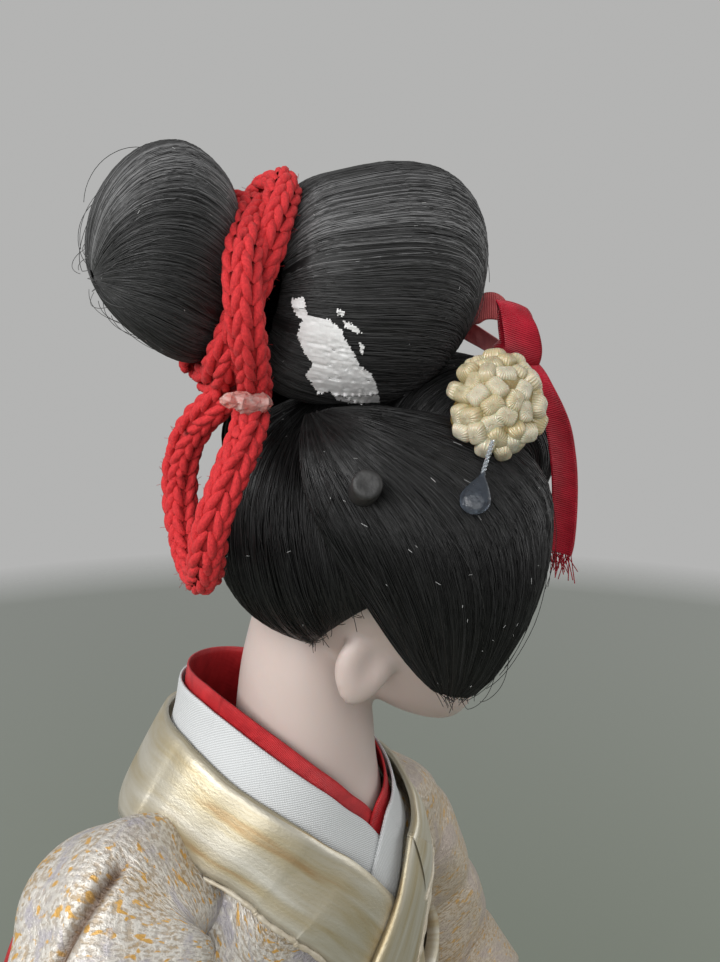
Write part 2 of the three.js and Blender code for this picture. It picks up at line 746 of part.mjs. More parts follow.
function drumForm(grow) {
  const start = bodyPoint(0, DRUM_Z, OBI_INNER + OBI_WALL).y - OBI_WALL / 2;
  return loft(DRUM_ROWS.map(([share, size]) => ovalRing(24, (c, s) => {
    const halfWidth = (DRUM_WIDTH / 2) * size + grow;
    const halfHeight = (DRUM_HEIGHT / 2) * size + grow;
    const y = start + share * (DRUM_DEPTH + grow);
    return at(boxy(c, 0.5) * halfWidth, y, DRUM_Z + boxy(s, 0.5) * halfHeight);
  })));
}

const drumGeometry = () => cut(drumForm(0), obiForm(GAP), goldBand(GAP));

function padForm(grow) {
  const radius = PAD_DIAMETER / 2;
  const back = bodyPoint(0, OBI_TOP, OBI_INNER + OBI_WALL).y;
  const top = DRUM_Z + DRUM_HEIGHT / 2 + GAP + radius;
  const half = DRUM_WIDTH / 2;
  const y = back + radius + 3;
  const halfRows = [
    [half + 3, y - 6, top - 8, radius * 0.6], [half - 2, y - 2, top - 1.5, radius * 0.85],
    [half / 2, y + 2, top, radius],
  ];
  const otherHalf = halfRows.map(([x, ...rest]) => [-x, ...rest]).reverse();
  return loft(limbRings([...halfRows, [0, y + 3, top + 0.4, radius * 1.04], ...otherHalf], grow, 12, 12));
}

const padGeometry = () => cut(padForm(0), drumForm(GAP), obiForm(GAP), bodiceForm(GAP));

function bodiceForm(grow) {
  const levels = [SKIRT_TOP, 205, 228, 243, 250, 254.5, 258, 261, 264];
  return loft(levels.map((height) => ovalRing(20, (c, s, angle) => bodyPoint(angle, height, grow))));
}

function tailGeometry() {
  const start = bodyPoint(0, OBI_BOTTOM, OBI_INNER + OBI_WALL).y + GAP;
  const top = DRUM_Z - DRUM_HEIGHT / 2 - GAP;
  const rows = [0, 0.25, 0.5, 0.75, 1];
  return loft(rows.map((share) => ovalRing(20, (c, s) => {
    const lean = TAIL_LEAN * Math.sin((share * Math.PI) / 2);
    const y = start + lean + TAIL_STAND_OFF + (TAIL_THICKNESS / 2) * boxy(s, 0.35);
    return at((TAIL_WIDTH / 2) * boxy(c, 0.35), y, top - share * TAIL_LENGTH);
  })));
}

// Arms, sleeves and hands

const sleeveRows = (side) => (side < 0 ? RIGHT_SLEEVE : LEFT_SLEEVE);
const wristRows = (side) => (side < 0 ? RIGHT_WRIST : LEFT_WRIST);

const armCurve = (side) => curveThrough([
  [side * 12, 4, sleeveRows(side)[0][2] - 2], ...sleeveRows(side), ...wristRows(side),
]);

const armTube = (side, grow) => tube(armCurve(side), ARM_DIAMETER / 2 + grow, 16, 8);

function wristFrame(side) {
  const curve = armCurve(side);
  return { end: curve.getPoint(1), ahead: curve.getTangent(1) };
}

function armGeometry(side) {
  const { end, ahead } = wristFrame(side);
  const inside = end.clone().addScaledVector(ahead, -2);
  const tip = end.clone().addScaledVector(ahead, WRIST_PIN_LENGTH);
  return join(armTube(side, 0), bar(inside, tip, WRIST_PIN_DIAMETER / 2));
}

// The hanging bag of a long sleeve, with its main folds, in plan along the forearm
function bagForm(side) {
  const rows = sleeveRows(side);
  const [elbow, mouth] = [rows[rows.length - 2], rows[rows.length - 1]];
  const along = at(mouth[0] - elbow[0], mouth[1] - elbow[1], 0).normalize();
  const across = at(-along.y, along.x, 0);
  const middle = at((elbow[0] + mouth[0]) / 2, (elbow[1] + mouth[1]) / 2, 0);
  const top = mouth[2] + 4;
  return loft(BAG_ROWS.map(([share, long, thick]) => ovalRing(22, (c, s) => {
    const fold = 1 + BAG_FOLD_DEPTH * share * Math.cos(BAG_FOLDS * Math.PI * c);
    return middle.clone()
      .addScaledVector(along, c * (BAG_LENGTH / 2) * long)
      .addScaledVector(across, boxy(s, 0.6) * (BAG_THICKNESS / 2) * thick * fold)
      .setZ(top - share * BAG_DROP);
  })));
}

function mouthRings(side, radius, from) {
  const rows = sleeveRows(side);
  const curve = curveThrough(rows);
  const end = curve.getPoint(1);
  const ahead = curve.getTangent(1);
  const sideways = at(-ahead.y, ahead.x, 0).normalize();
  const upward = ahead.clone().cross(sideways);
  return [from, LINING_PROUD].map((distance) => ovalRing(16, (c, s) => end.clone()
    .addScaledVector(ahead, distance)
    .addScaledVector(sideways, c * radius)
    .addScaledVector(upward, s * radius)));
}

const mouthRadius = (side) => sleeveRows(side).at(-1)[3] - SLEEVE_WALL;

function sleeveGeometry(side) {
  const form = join(loft(limbRings(sleeveRows(side), 0)), bagForm(side));
  const mouth = loft(mouthRings(side, mouthRadius(side), -MOUTH_DEPTH));
  return cut(form, mouth, armTube(side, GAP), bodiceForm(GAP), obiForm(GAP), obiCordForm(GAP),
    goldBand(GAP));
}

function liningGeometry(side) {
  const outer = mouthRadius(side) - GAP;
  const depth = -MOUTH_DEPTH + GAP;
  return wallOf(mouthRings(side, outer, depth), mouthRings(side, outer - LINING_THICKNESS, depth));
}

function handGeometry(side) {
  const { end, ahead } = wristFrame(side);
  const start = end.clone().addScaledVector(ahead, RUNNING_GAP);
  const sideways = at(-ahead.y, ahead.x, 0).normalize();
  const upward = ahead.clone().cross(sideways);
  const palm = loft(HAND_ROWS.map(([share, wide, thick]) => ovalRing(10, (c, s) => start.clone()
    .addScaledVector(ahead, share * HAND_LENGTH)
    .addScaledVector(upward, c * (HAND_WIDTH / 2) * wide)
    .addScaledVector(sideways, s * (HAND_THICKNESS / 2) * thick))));
  const thumbRows = THUMB_ROWS.map(([forward, up, radius]) => {
    const spot = start.clone().addScaledVector(ahead, forward * HAND_LENGTH);
    return [...spot.addScaledVector(upward, up * HAND_WIDTH).toArray(), radius];
  });
  const thumb = loft(limbRings(thumbRows, 0, 8, 5));
  const pinHole = bar(end.clone().addScaledVector(ahead, -1),
    end.clone().addScaledVector(ahead, WRIST_PIN_LENGTH + RUNNING_GAP),
    WRIST_PIN_DIAMETER / 2 + RUNNING_GAP / 2);
  return cut(join(palm, thumb), pinHole);
}

// Head and wig, in the head frame: x to the doll's left, y to the back of the head

const headGroup = new THREE.Group();
headGroup.position.set(HEAD_X, HEAD_Y, HEAD_Z);
headGroup.rotation.set(HEAD_BOW * RADIANS, 0, HEAD_TURN * RADIANS, 'ZYX');
headGroup.updateMatrix();
const toHead = headGroup.matrix.clone().invert();

function headForm(grow) {
  return loft(HEAD_ROWS.map(([height, side, front, back], row) => ovalRing(20, (c, s) => {
    const end = row === 0 ? -grow : grow * (row === HEAD_ROWS.length - 1);
    const half = (back - front) / 2 + grow;
    return at(c * (side + grow), (front + back) / 2 + s * half, height + end);
  })));
}

function neckForm(grow) {
  const profile = [
    [0, PLUG_BOTTOM], [PLUG_RADIUS, PLUG_BOTTOM], [PLUG_RADIUS, NECK_FOOT], [NECK_FLARE_RADIUS, NECK_FOOT],
    [NECK_FLARE_RADIUS, NECK_FOOT + 5], [NECK_RADIUS * 1.1, NECK_FOOT + 10], [NECK_RADIUS, NECK_FOOT + 17],
    [NECK_RADIUS, NECK_TOP - 5], [NECK_RADIUS * 0.75, NECK_TOP], [0, NECK_TOP],
  ].map(([radius, height]) => [radius > 0 ? radius + grow : 0, height]);
  const lathe = new THREE.LatheGeometry(profile.map(([r, h]) => new THREE.Vector2(r, h)), 20);
  return lathe.rotateX(Math.PI / 2).translate(0, NECK_Y, 0).applyMatrix4(toHead);
}

function headGeometry() {
  const ear = (side) => ellipsoid(at(side * 17.6, 7, -11.5), at(3.4, 3.6, EAR_HEIGHT / 2), 10, 6);
  const nose = ellipsoid(at(0, -21, -10.5), at(1.7, 2.2, 3.2), 8, 6);
  return join(headForm(0), neckForm(0), ear(-1), ear(1), nose);
}

// Half-space tools that trim the wig where the face and the ears are bare
function trimFront(edge) {
  const low = at(-TRIM_REACH, edge - TRIM_REACH, -TRIM_REACH);
  return box(low, at(TRIM_REACH, edge, TRIM_REACH));
}

const trimBelow = (height) =>
  box(at(-TRIM_REACH, -TRIM_REACH, -TRIM_REACH), at(TRIM_REACH, TRIM_REACH, height));

const trimSlope = () => trimBelow(0).rotateX(NAPE_SLOPE * RADIANS).translate(0, NAPE_Y, NAPE_Z);

const backHairForm = (grow) => ellipsoid(at(0, 1, 2.4), at(23.3, 20.6, 18).addScalar(grow), 20, 12);

const backHairGeometry = () => cut(backHairForm(0), headForm(GAP), trimFront(BACK_HAIR_FRONT), trimSlope(),
  neckForm(GAP), pinTool(), pegForm(GAP));

function wingForm(side, grow) {
  const spine = curveThrough(WING_ROWS);
  return loft(WING_ROWS.map(([x, y, z, width, thick], row) => {
    const along = spine.getTangent(row / (WING_ROWS.length - 1));
    const out = along.clone().cross(at(0, 1, 0)).normalize();
    const broad = out.clone().cross(along).normalize();
    return ovalRing(16, (c, s) => {
      const point = at(x, y, z).addScaledVector(broad, c * (width + grow));
      point.addScaledVector(out, s * (thick + grow));
      return point.setX(-side * point.x);
    });
  }));
}

function wingGeometry(side) {
  const tools = [backHairForm(GAP), headForm(GAP), lobeForm(FRONT_LOBE_ROWS, GAP)];
  if (side < 0) tools.push(pinTool(), pegForm(GAP));
  return cut(wingForm(side, 0), ...tools);
}

const puffForm = (grow) => ellipsoid(at(0, -9, 16), at(17, 13.6, 12.4).addScalar(grow), 16, 10);

function frontHairGeometry() {
  return cut(puffForm(0), headForm(GAP), backHairForm(GAP), wingForm(-1, GAP), wingForm(1, GAP),
    lobeForm(FRONT_LOBE_ROWS, GAP), trimBelow(HAIRLINE), pinTool());
}

function lobeForm(rows, grow) {
  return loft(rows.map(([y, width, high, middle]) =>
    ovalRing(16, (c, s) => at(c * (width + grow), y, middle + s * (high + grow)))));
}

// The white former inside both lobes
function formerForm(grow) {
  const rows = [...FRONT_LOBE_ROWS.slice(1, -1), ...BACK_LOBE_ROWS.slice(1, -1)];
  return lobeForm(rows, grow - HAIR_SHELL);
}

function patchTool() {
  const outline = new THREE.Shape(PATCH_OUTLINE.map(([y, z]) => new THREE.Vector2(y, z)));
  const block = new THREE.ExtrudeGeometry(outline, { depth: 30, bevelEnabled: false });
  const turn = new THREE.Matrix4().makeBasis(at(0, 1, 0), at(0, 0, 1), at(1, 0, 0));
  return block.applyMatrix4(turn).translate(-32, 0, 0);
}

const frontLobeGeometry = () =>
  cut(lobeForm(FRONT_LOBE_ROWS, 0), backHairForm(GAP), headForm(GAP), formerForm(GAP), patchTool());

const backLobeGeometry = () => cut(lobeForm(BACK_LOBE_ROWS, 0), formerForm(GAP));

const formerGeometry = () => cut(formerForm(0), backHairForm(GAP), headForm(GAP));

const pegEnd = at(-29.6, 15.4, 12.6);
const pegAlong = at(-0.86, 0.36, 0.36).normalize();

function pegForm(grow) {
  const inner = pegEnd.clone().addScaledVector(pegAlong, -PEG_LENGTH - grow);
  return bar(inner, pegEnd.clone().addScaledVector(pegAlong, grow), PEG_DIAMETER / 2 + grow, 14);
}

// Cord: up the near side, down the far side, and once more round, the second pass over the first

const windingHalfWidth = BACK_LOBE_ROWS[0][1] + GAP + CORD_DIAMETER / 2;
const windingHalfHeight = BACK_LOBE_ROWS[0][2] + GAP + CORD_DIAMETER / 2;
const windingStep = (CORD_DIAMETER + CORD_SELF_GAP) / 2;

function windingPoint(turns) {
  const angle = FULL_TURN * turns;
  const nearSide = turns % 1 < 0.5;
  const share = (turns % 0.5) * 2;
  const second = turns >= 1;
  let shift = second ? windingStep : -windingStep;
  let lift = 0;
  if (nearSide) {
    const swing = Math.cos(Math.PI * share);
    shift = second ? -windingStep * swing : windingStep * swing;
    lift = second ? 2 * windingStep * Math.sin(Math.PI * share) : 0;
  }
  const radial = at(-Math.sin(angle), 0, -Math.cos(angle));
  return at(radial.x * (windingHalfWidth + lift), WAIST_Y + shift,
    BACK_LOBE_ROWS[0][3] + radial.z * (windingHalfHeight + lift));
}

const WINDING_START = 0.02;
const WINDING_END = 1.9;
const WINDING_COUNT = Math.round(WINDING_STEPS * (WINDING_END - WINDING_START));

function windingCurve() {
  return new THREE.CatmullRomCurve3(Array.from({ length: WINDING_COUNT + 1 }, (_, i) =>
    windingPoint(mix(WINDING_START, WINDING_END, i / WINDING_COUNT))));
}

const windingForm = (grow) => tube(windingCurve(), CORD_DIAMETER / 2 + grow, WINDING_COUNT, WINDING_SIDES);

const loopForm = (grow) => tube(curveThrough(LOOP_ROUTE), CORD_DIAMETER / 2 + grow, LOOP_STEPS, LOOP_SIDES);

function leastSelfGap(curve) {
  const samples = 240;
  const points = curve.getPoints(samples);
  const lengths = curve.getLengths(samples);
  const apart = 2 * CORD_DIAMETER;
  let least = Infinity;
  points.forEach((one, i) => points.forEach((other, j) => {
    if (lengths[j] - lengths[i] > apart) least = Math.min(least, one.distanceTo(other) - CORD_DIAMETER);
  }));
  return least;
}

function glueGeometry() {
  const bead = ellipsoid(at(0, 0, 0), at(GLUE_WIDTH / 2, GLUE_LENGTH / 2, GLUE_WIDTH / 2), 10, 8);
  bead.rotateZ(0.5).translate(-8.8, 27.6, 15.6);
  return cut(bead, windingForm(GAP), loopForm(GAP), backHairForm(GAP));
}

// Flower, pin and drop

const flowerAxis = at(-0.78, 0.28, 0.56).normalize();
const flowerMiddle = at(-23.6, -1.6, 23.6);
const flowerPoint = (distance) => flowerMiddle.clone().addScaledVector(flowerAxis, distance);
const discBack = -FLOWER_DOME - 1;

function pinForm(grow) {
  const top = flowerPoint(discBack - GAP);
  const bottom = top.clone().addScaledVector(flowerAxis, -PIN_LENGTH - grow);
  return bar(bottom, top, PIN_DIAMETER / 2 + grow, 10);
}

const pinTool = () => pinForm(RUNNING_GAP);

const discForm = (grow) =>
  bar(flowerPoint(discBack - grow), flowerPoint(discBack + DISC_THICKNESS + grow), DISC_RADIUS + grow, 20);

// Loops of ribbon set out on a dome by the golden angle
function petalsGeometry() {
  const turn = new THREE.Quaternion().setFromUnitVectors(at(0, 0, 1), flowerAxis);
  const golden = Math.PI * (3 - Math.sqrt(5));
  const heartRadius = FLOWER_RADIUS - 1.6;
  const heart = ellipsoid(at(0, 0, 0), at(heartRadius, heartRadius, FLOWER_DOME + 0.4), 14, 8);
  const loops = Array.from({ length: PETAL_COUNT }, (_, i) => {
    const share = (i + 0.5) / PETAL_COUNT;
    const radius = (FLOWER_RADIUS - PETAL_RADIUS * 0.75) * Math.sqrt(share);
    const height = (FLOWER_DOME - 0.8) * Math.sqrt(1 - share * 0.92);
    const spot = at(radius * Math.cos(golden * i), radius * Math.sin(golden * i), height);
    const half = at(PETAL_RADIUS, PETAL_RADIUS * 0.62, PETAL_RADIUS * 0.9);
    const loop = ellipsoid(at(0, 0, 0), half, 6, 4).rotateZ(golden * i + Math.PI / 2);
    return loop.translate(spot.x, spot.y, spot.z);
  });
  const flower = join(heart, ...loops).applyQuaternion(turn);
  flower.translate(flowerMiddle.x, flowerMiddle.y, flowerMiddle.z);
  return cut(flower, discForm(GAP), pinForm(GAP), wingForm(-1, GAP), linkSweep());
}

const discGeometry = () => cut(discForm(0), wingForm(-1, GAP));

// The drop hangs down along the wing's surface from the flower's lower rim
const wingNormal = at(-0.7, 0.7, 0.5).normalize();
const downInHead = at(0, 0, -1).transformDirection(toHead);
const hangAlong = downInHead.clone().addScaledVector(wingNormal, -downInHead.dot(wingNormal)).normalize();
const rimAlong = downInHead.clone().addScaledVector(flowerAxis, -downInHead.dot(flowerAxis)).normalize();
rimAlong.applyAxisAngle(flowerAxis, LINK_RIM_TURN * RADIANS);
const linkTop = flowerPoint(LINK_RISE).addScaledVector(rimAlong, FLOWER_RADIUS + LINK_DIAMETER / 2);
const linkPoint = (distance) => linkTop.clone().addScaledVector(hangAlong, distance);

function linkSweep() {
  const radius = LINK_DIAMETER / 2 + RUNNING_GAP;
  return ellipsoid(linkTop, at(radius, radius, radius), 12, 8);
}

const linkGeometry = () => bar(linkPoint(0), linkPoint(LINK_LENGTH), LINK_DIAMETER / 2, 8);

function dropGeometry() {
  const profile = DROP_ROWS.map(([share, wide]) =>
    new THREE.Vector2((wide * DROP_DIAMETER) / 2, share * DROP_LENGTH));
  const closed = [new THREE.Vector2(0, 0), ...profile, new THREE.Vector2(0, DROP_LENGTH)];
  const lathe = new THREE.LatheGeometry(closed, 14);
  const turn = new THREE.Quaternion().setFromUnitVectors(at(0, 1, 0), hangAlong);
  const top = linkPoint(LINK_LENGTH + GAP);
  return geometryOf(solid(lathe.applyQuaternion(turn).translate(top.x, top.y, top.z)));
}

// Ribbon: a flat band along a path, its width along one axis

function band(points, across, steps) {
  const curve = new THREE.CatmullRomCurve3(points);
  const rings = Array.from({ length: steps + 1 }, (_, step) => {
    const centre = curve.getPoint(step / steps);
    const along = curve.getTangent(step / steps);
    const thick = along.clone().cross(across).normalize();
    const broad = thick.clone().cross(along).normalize();
    return ovalRing(4, (c, s) => centre.clone()
      .addScaledVector(broad, (RIBBON_WIDTH / 2) * Math.sign(c))
      .addScaledVector(thick, (RIBBON_THICKNESS / 2) * Math.sign(s)));
  });
  return loft(rings);
}

const ribbonKnotMiddle = at(-8.4, -10.6, 29);

function knotForm(grow) {
  const half = at(1, 0.9, 1).multiplyScalar(RIBBON_KNOT / 2).addScalar(grow);
  return ellipsoid(ribbonKnotMiddle, half, 12, 8);
}

const knotGeometry = () => cut(knotForm(0), lobeForm(FRONT_LOBE_ROWS, GAP), puffForm(GAP));

// A bow loop that leaves the knot along one way, rises and comes back to it
function bowLoop(outward, length, height) {
  const up = at(0, 0, 1).addScaledVector(outward, -outward.z).normalize();
  const across = outward.clone().cross(up).normalize();
  const points = BOW_ROWS.map(([out, rise]) =>
    ribbonKnotMiddle.clone().addScaledVector(outward, out * length).addScaledVector(up, rise * height));
  return cut(band(points, across, 18), knotForm(GAP), lobeForm(FRONT_LOBE_ROWS, GAP));
}

const nearLoopGeometry = () => bowLoop(at(-0.68, 0.36, 0.62).normalize(), 10.6, 6.6);
const farLoopGeometry = () => bowLoop(at(0.66, 0.02, 0.75).normalize(), 11.5, 6.5);

const TAIL_ROUTE = [
  [-10, -11.6, 27.4], [-13.6, -12.2, 26], [-17.4, -13.2, 22.6], [-20, -14.6, 17], [-20.8, -15.8, 11],
  [-20.4, -16.6, 5.6], [-19.4, -16.8, 2],
];

function ribbonTailGeometry() {
  const points = TAIL_ROUTE.map(([x, y, z]) => at(x, y, z));
  return cut(band(points, at(-0.9, -0.42, 0).normalize(), 16), knotForm(GAP), puffForm(GAP));
}

// Looks

const lacquer = material(0x151012, 0.15);
const felt = material(0x2b2b2b, 1);
const wood = material(0xc9a26a, 0.7);
const straw = material(0xd8c391, 0.9);
const skin = material(0xf4e2da, 0.35);
const hair = material(0x0c0a0b, 0.35);
const plaster = material(0xe9e6e0, 0.9);
const redCord = material(0xd8281f, 0.75);
const redSilk = material(0xb0201f, 0.45);
const whiteSilk = material(0xf3f0ea, 0.7);
const goldCloth = material(0xb58a4a, 0.4, 0.5);
const brocade = material(0xcdbd9d, 0.7, 0.2);
const pinkSilk = material(0xe9b9bd, 0.6);
const cream = material(0xf1e6cf, 0.6);
const steel = material(0xb9bcc0, 0.3, 1);
const glass = material(0xa9b9c6, 0.15);
const glue = material(0xf3cfc8, 0.1);
const cotton = material(0xf6f4ef, 0.85);

// Assembly

const doll = new THREE.Group();
doll.add(piece('base_felt', feltGeometry(), felt));
doll.add(piece('base_board', boardGeometry(), lacquer));

const figure = new THREE.Group();
figure.position.z = DECK;
doll.add(figure);

for (const [side, word] of [[-1, 'right'], [1, 'left']]) {
  figure.add(piece(`leg_rod_${word}`, legRod(side, 0), wood));
  figure.add(piece(`sandal_${word}`, soleGeometry(side), redSilk));
  figure.add(piece(`sock_${word}`, footGeometry(side), cotton));
  figure.add(piece(`sandal_strap_${word}`, strapGeometry(side), redCord));
  figure.add(piece(`arm_core_${word}`, armGeometry(side), straw));
  figure.add(piece(`sleeve_${word}`, sleeveGeometry(side), brocade));
  figure.add(piece(`sleeve_lining_${word}`, liningGeometry(side), redSilk));
  figure.add(piece(`hand_${word}`, handGeometry(side), skin));
}

figure.add(piece('body_core', bodyCoreGeometry(), straw));
figure.add(piece('neck_bush', bushGeometry(), wood));
figure.add(piece('skirt', skirtGeometry(), brocade));
figure.add(piece('skirt_overlap_panel', panelGeometry(), brocade));
figure.add(piece('hem_roll', hemRollGeometry(), redSilk));
figure.add(piece('bodice', bodiceGeometry(), brocade));
figure.add(piece('collar_red', redBand(0), redSilk));
figure.add(piece('collar_white', whiteBand(0), whiteSilk));
figure.add(piece('collar_gold', goldGeometry(), goldCloth));
figure.add(piece('obi_wrap', obiGeometry(), goldCloth));
figure.add(piece('obi_cord', obiCordGeometry(), redCord));
figure.add(piece('obi_cord_knot', obiKnotGeometry(), redCord));
figure.add(piece('obi_drum', drumGeometry(), redSilk));
figure.add(piece('obi_pad', padGeometry(), pinkSilk));
figure.add(piece('obi_tail', tailGeometry(), redSilk));

figure.add(headGroup);
headGroup.add(piece('head', headGeometry(), skin));
headGroup.add(piece('hair_back', backHairGeometry(), hair));
headGroup.add(piece('hair_wing_right', wingGeometry(-1), hair));
headGroup.add(piece('hair_wing_left', wingGeometry(1), hair));
headGroup.add(piece('hair_front', frontHairGeometry(), hair));
headGroup.add(piece('topknot_front', frontLobeGeometry(), hair));
headGroup.add(piece('topknot_back', backLobeGeometry(), hair));
headGroup.add(piece('topknot_former', formerGeometry(), plaster));
headGroup.add(piece('hair_peg', pegForm(0), hair));
headGroup.add(piece('topknot_cord', windingForm(0), redCord));
headGroup.add(piece('cord_loop', loopForm(0), redCord));
headGroup.add(piece('cord_glue', glueGeometry(), glue));
headGroup.add(piece('flower_pin', pinForm(0), steel));
headGroup.add(piece('flower_disc', discGeometry(), cream));
headGroup.add(piece('flower_petals', petalsGeometry(), cream));
headGroup.add(piece('drop_link', linkGeometry(), steel));
headGroup.add(piece('glass_drop', dropGeometry(), glass));
headGroup.add(piece('ribbon_loop_near', nearLoopGeometry(), redSilk));
headGroup.add(piece('ribbon_loop_far', farLoopGeometry(), redSilk));
headGroup.add(piece('ribbon_knot', knotGeometry(), redSilk));
headGroup.add(piece('ribbon_tail', ribbonTailGeometry(), redSilk));

console.log('least gap of the cord winding to itself, mm:', leastSelfGap(windingCurve()).toFixed(2));

export default doll;
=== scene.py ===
import math

import bpy
import numpy as np
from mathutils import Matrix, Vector
from mathutils.bvhtree import BVHTree


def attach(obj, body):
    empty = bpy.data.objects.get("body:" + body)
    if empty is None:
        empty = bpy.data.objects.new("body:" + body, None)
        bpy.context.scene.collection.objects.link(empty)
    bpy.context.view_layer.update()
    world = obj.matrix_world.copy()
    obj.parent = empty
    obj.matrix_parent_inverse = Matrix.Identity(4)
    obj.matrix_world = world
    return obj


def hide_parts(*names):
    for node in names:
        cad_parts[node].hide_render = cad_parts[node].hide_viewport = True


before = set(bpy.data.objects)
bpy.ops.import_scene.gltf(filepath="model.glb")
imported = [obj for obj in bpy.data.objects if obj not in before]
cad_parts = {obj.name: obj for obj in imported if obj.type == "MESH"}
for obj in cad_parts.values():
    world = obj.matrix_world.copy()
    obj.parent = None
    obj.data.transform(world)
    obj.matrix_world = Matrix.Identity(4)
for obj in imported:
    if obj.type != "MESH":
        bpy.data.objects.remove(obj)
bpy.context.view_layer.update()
rng = np.random.default_rng(11)

# Lengths are in millimetres, figure heights count from the top of the base board

MM = 0.001
DECK = 17.0
UP = np.array((0.0, 0.0, 1.0))
HEAD_AT = np.array((7.0, -5.0, 318.0))
HEAD_TURN = math.radians(58)
HEAD_BOW = math.radians(14)
NECK_AXIS = np.array((0.0, 1.0))

EYE_AT = (-111.1, -86.8, 361.8)
EYE_BACK = (-0.7948, -0.5566, 0.2419)
EYE_LENS = 39.3
SENSOR = 36.0

# Body rows: height, half width, half depth in front, half depth behind, middle in y
BODY_ROWS = [
    (0, 47, 40, 42, 2), (14, 43, 36.5, 38.5, 2), (40, 37, 31.5, 33, 2), (85, 32.5, 27.5, 29, 2),
    (130, 30.5, 25, 27, 2), (160, 28.5, 22.5, 25, 2), (186, 24, 17.5, 19.5, 3), (205, 24.5, 15.5, 18, 3),
    (228, 28.5, 15, 19, 3), (243, 30.5, 15, 19.5, 3), (250, 27.5, 14.8, 19.5, 3.2),
    (254.5, 23, 14.8, 19, 3.4), (258, 19, 15, 18, 3.6), (261, 16, 15.2, 16.6, 3.8),
    (264, 14.2, 15, 15.4, 4),
]
COLLAR_ROWS = [
    (222, 24, 17.5, 22, 5.5), (238, 22.5, 17.9, 21.5, 5.5), (250, 21.5, 17.8, 20, 5.5),
    (262, 18.2, 16.2, 17.6, 5.5), (273, 12.9, 16.2, 15, 5.5), (282, 11.4, 16.4, 13.8, 5.5),
]
COLLAR_TILT = 3.0
# How much nearer to the neck the collars lie on the left side: height, distance
LEFT_TUCK = [(252, 0), (258, 0.4), (262, 1.8), (266, 2.1), (273, 2.0), (282, 0.9)]
# Top edge of the innermost collar: degrees from the back towards the doll's right, height
COLLAR_EDGE = [
    (238, 228.5), (226, 236), (212, 244.5), (197, 253.5), (180, 262.6), (165, 267.2), (150, 271),
    (120, 276.6), (90, 280.4), (60, 281.4), (0, 280), (-60, 277), (-90, 272.8), (-120, 269.6),
    (-150, 266.6), (-165, 264.8), (-180, 262.6), (-197, 253.5), (-212, 244.5), (-226, 236),
    (-238, 228.5),
]
COLLAR_STATIONS = 220
COLLAR_COLS = 14
RED_SHOWN = 2.0
WHITE_SHOWN = 5.2
# Collar bands: upper edge, lower edge, lower edge at the nape, offset on the right and on the left,
# thickness, share left out at each end, and for the gold one its puff, flare and lumps
RED_BAND = (0, 6, 14, 0, 0.45, 0.3, 0.15)
WHITE_BAND = (RED_SHOWN, 9.6, 9.6, 0.9, 1.45, 0.35, 0.13)
GOLD_BAND = (RED_SHOWN + WHITE_SHOWN, 18.6, 19.5, 2.0, 3.3, 0.9, 0.03, 0.3, 2.8, 0.3)
PIPING_RADIUS = 0.4

HEAD_ROWS = [
    (-25.4, 3.2, -19.5, -14), (-24, 7, -21.2, -8), (-20.5, 11.5, -21.8, -1), (-15, 15, -21.8, 6),
    (-8, 18.4, -21.4, 13.5), (0, 19.4, -20.6, 16.6), (6, 18.6, -19.2, 16.4), (11, 15.8, -16, 14),
    (14.8, 11, -10.8, 10), (17, 4, -4, 4.4),
]
NECK_ROWS = [
    (257.6, 11.4), (262.6, 11.4), (267.6, 10.6), (273, 10.2), (278, 9.7), (284, 8.8), (291, 7),
]
# Small lumps of the face, nose, its tip and chin: middle, half sizes
FACE_LUMPS = [
    ((0, -21, -10.5), (1.6, 2.0, 3.4)), ((0, -21.5, -12.4), (2.1, 2.1, 1.5)),
    ((0, -20.6, -21.8), (4.5, 2.2, 2.6)),
]
CHEEK_AT = (7.4, -16.6, -12.5)
CHEEK_HALF = (5.4, 4.6, 6)
# Size of the cells and rounds of smoothing for skin
HEAD_CELLS = (0.55, 6)
HAND_CELLS = (0.25, 3)
EAR_AT = (13.7, 2.4, -14.4)
EAR_HALF = (1.9, 4.5, 5.7)
BLUSH_AT = (10.5, -18.5, -11)
BLUSH_SIZE = np.array((5.5, 7, 4.5))
BLUSH_TONE = 0.28
STROKE_STEPS = 26
# Strokes of paint: look, lift off the skin, widths, line of x and z
EYE_STROKES = [
    (0, 0.08, (0.3, 1.0, 0.9, 0.25), ((3.6, 0.6), (6.4, 1.9), (9.4, 2.2), (12.4, 1.0))),
    (1, 0.06, (0.2, 1.9, 1.8, 0.3), ((3.9, -5.2), (6.2, -4.8), (8.8, -4.6), (11, -4.2))),
    (0, 0.1, (1.2, 1.9, 1.2), ((7.2, -3.8), (7.2, -4.7), (7.2, -5.6))),
    (0, 0.12, (0.25, 0.65, 0.75, 0.25), ((3.5, -5.1), (5.6, -4.0), (8.2, -3.6), (11.6, -3.7))),
]
LIP_STROKES = [
    (2, 0.08, (0.2, 1.1, 0.9, 1.1, 0.2),
     ((-2.9, -17.4), (-1.2, -16.7), (0, -17.0), (1.2, -16.7), (2.9, -17.4))),
    (2, 0.08, (0.2, 1.3, 0.2), ((-2.3, -18.1), (0, -18.6), (2.3, -18.1))),
]
# Front lobe rows: top y and z, bottom y and z, half width
FRONT_LOBE = [
    (22.6, 38.4, 22.2, 21.6, 6.6), (21.8, 42, 20.6, 19.2, 9.4), (19.6, 45.2, 17.8, 17.8, 11.6),
    (15.4, 47.6, 14, 17.3, 13), (8.4, 50.6, 8.8, 17.4, 13.6), (1.6, 51.2, 4.4, 18.2, 13.2),
    (-3.2, 48.4, 1.6, 19.6, 12), (-5.6, 42.8, 0, 21.2, 10.2), (-5, 35.6, -0.8, 22.6, 7.8),
    (-3.2, 29.6, -1.2, 23.9, 4.6), (-1.9, 26.2, -1.4, 24.8, 1),
]
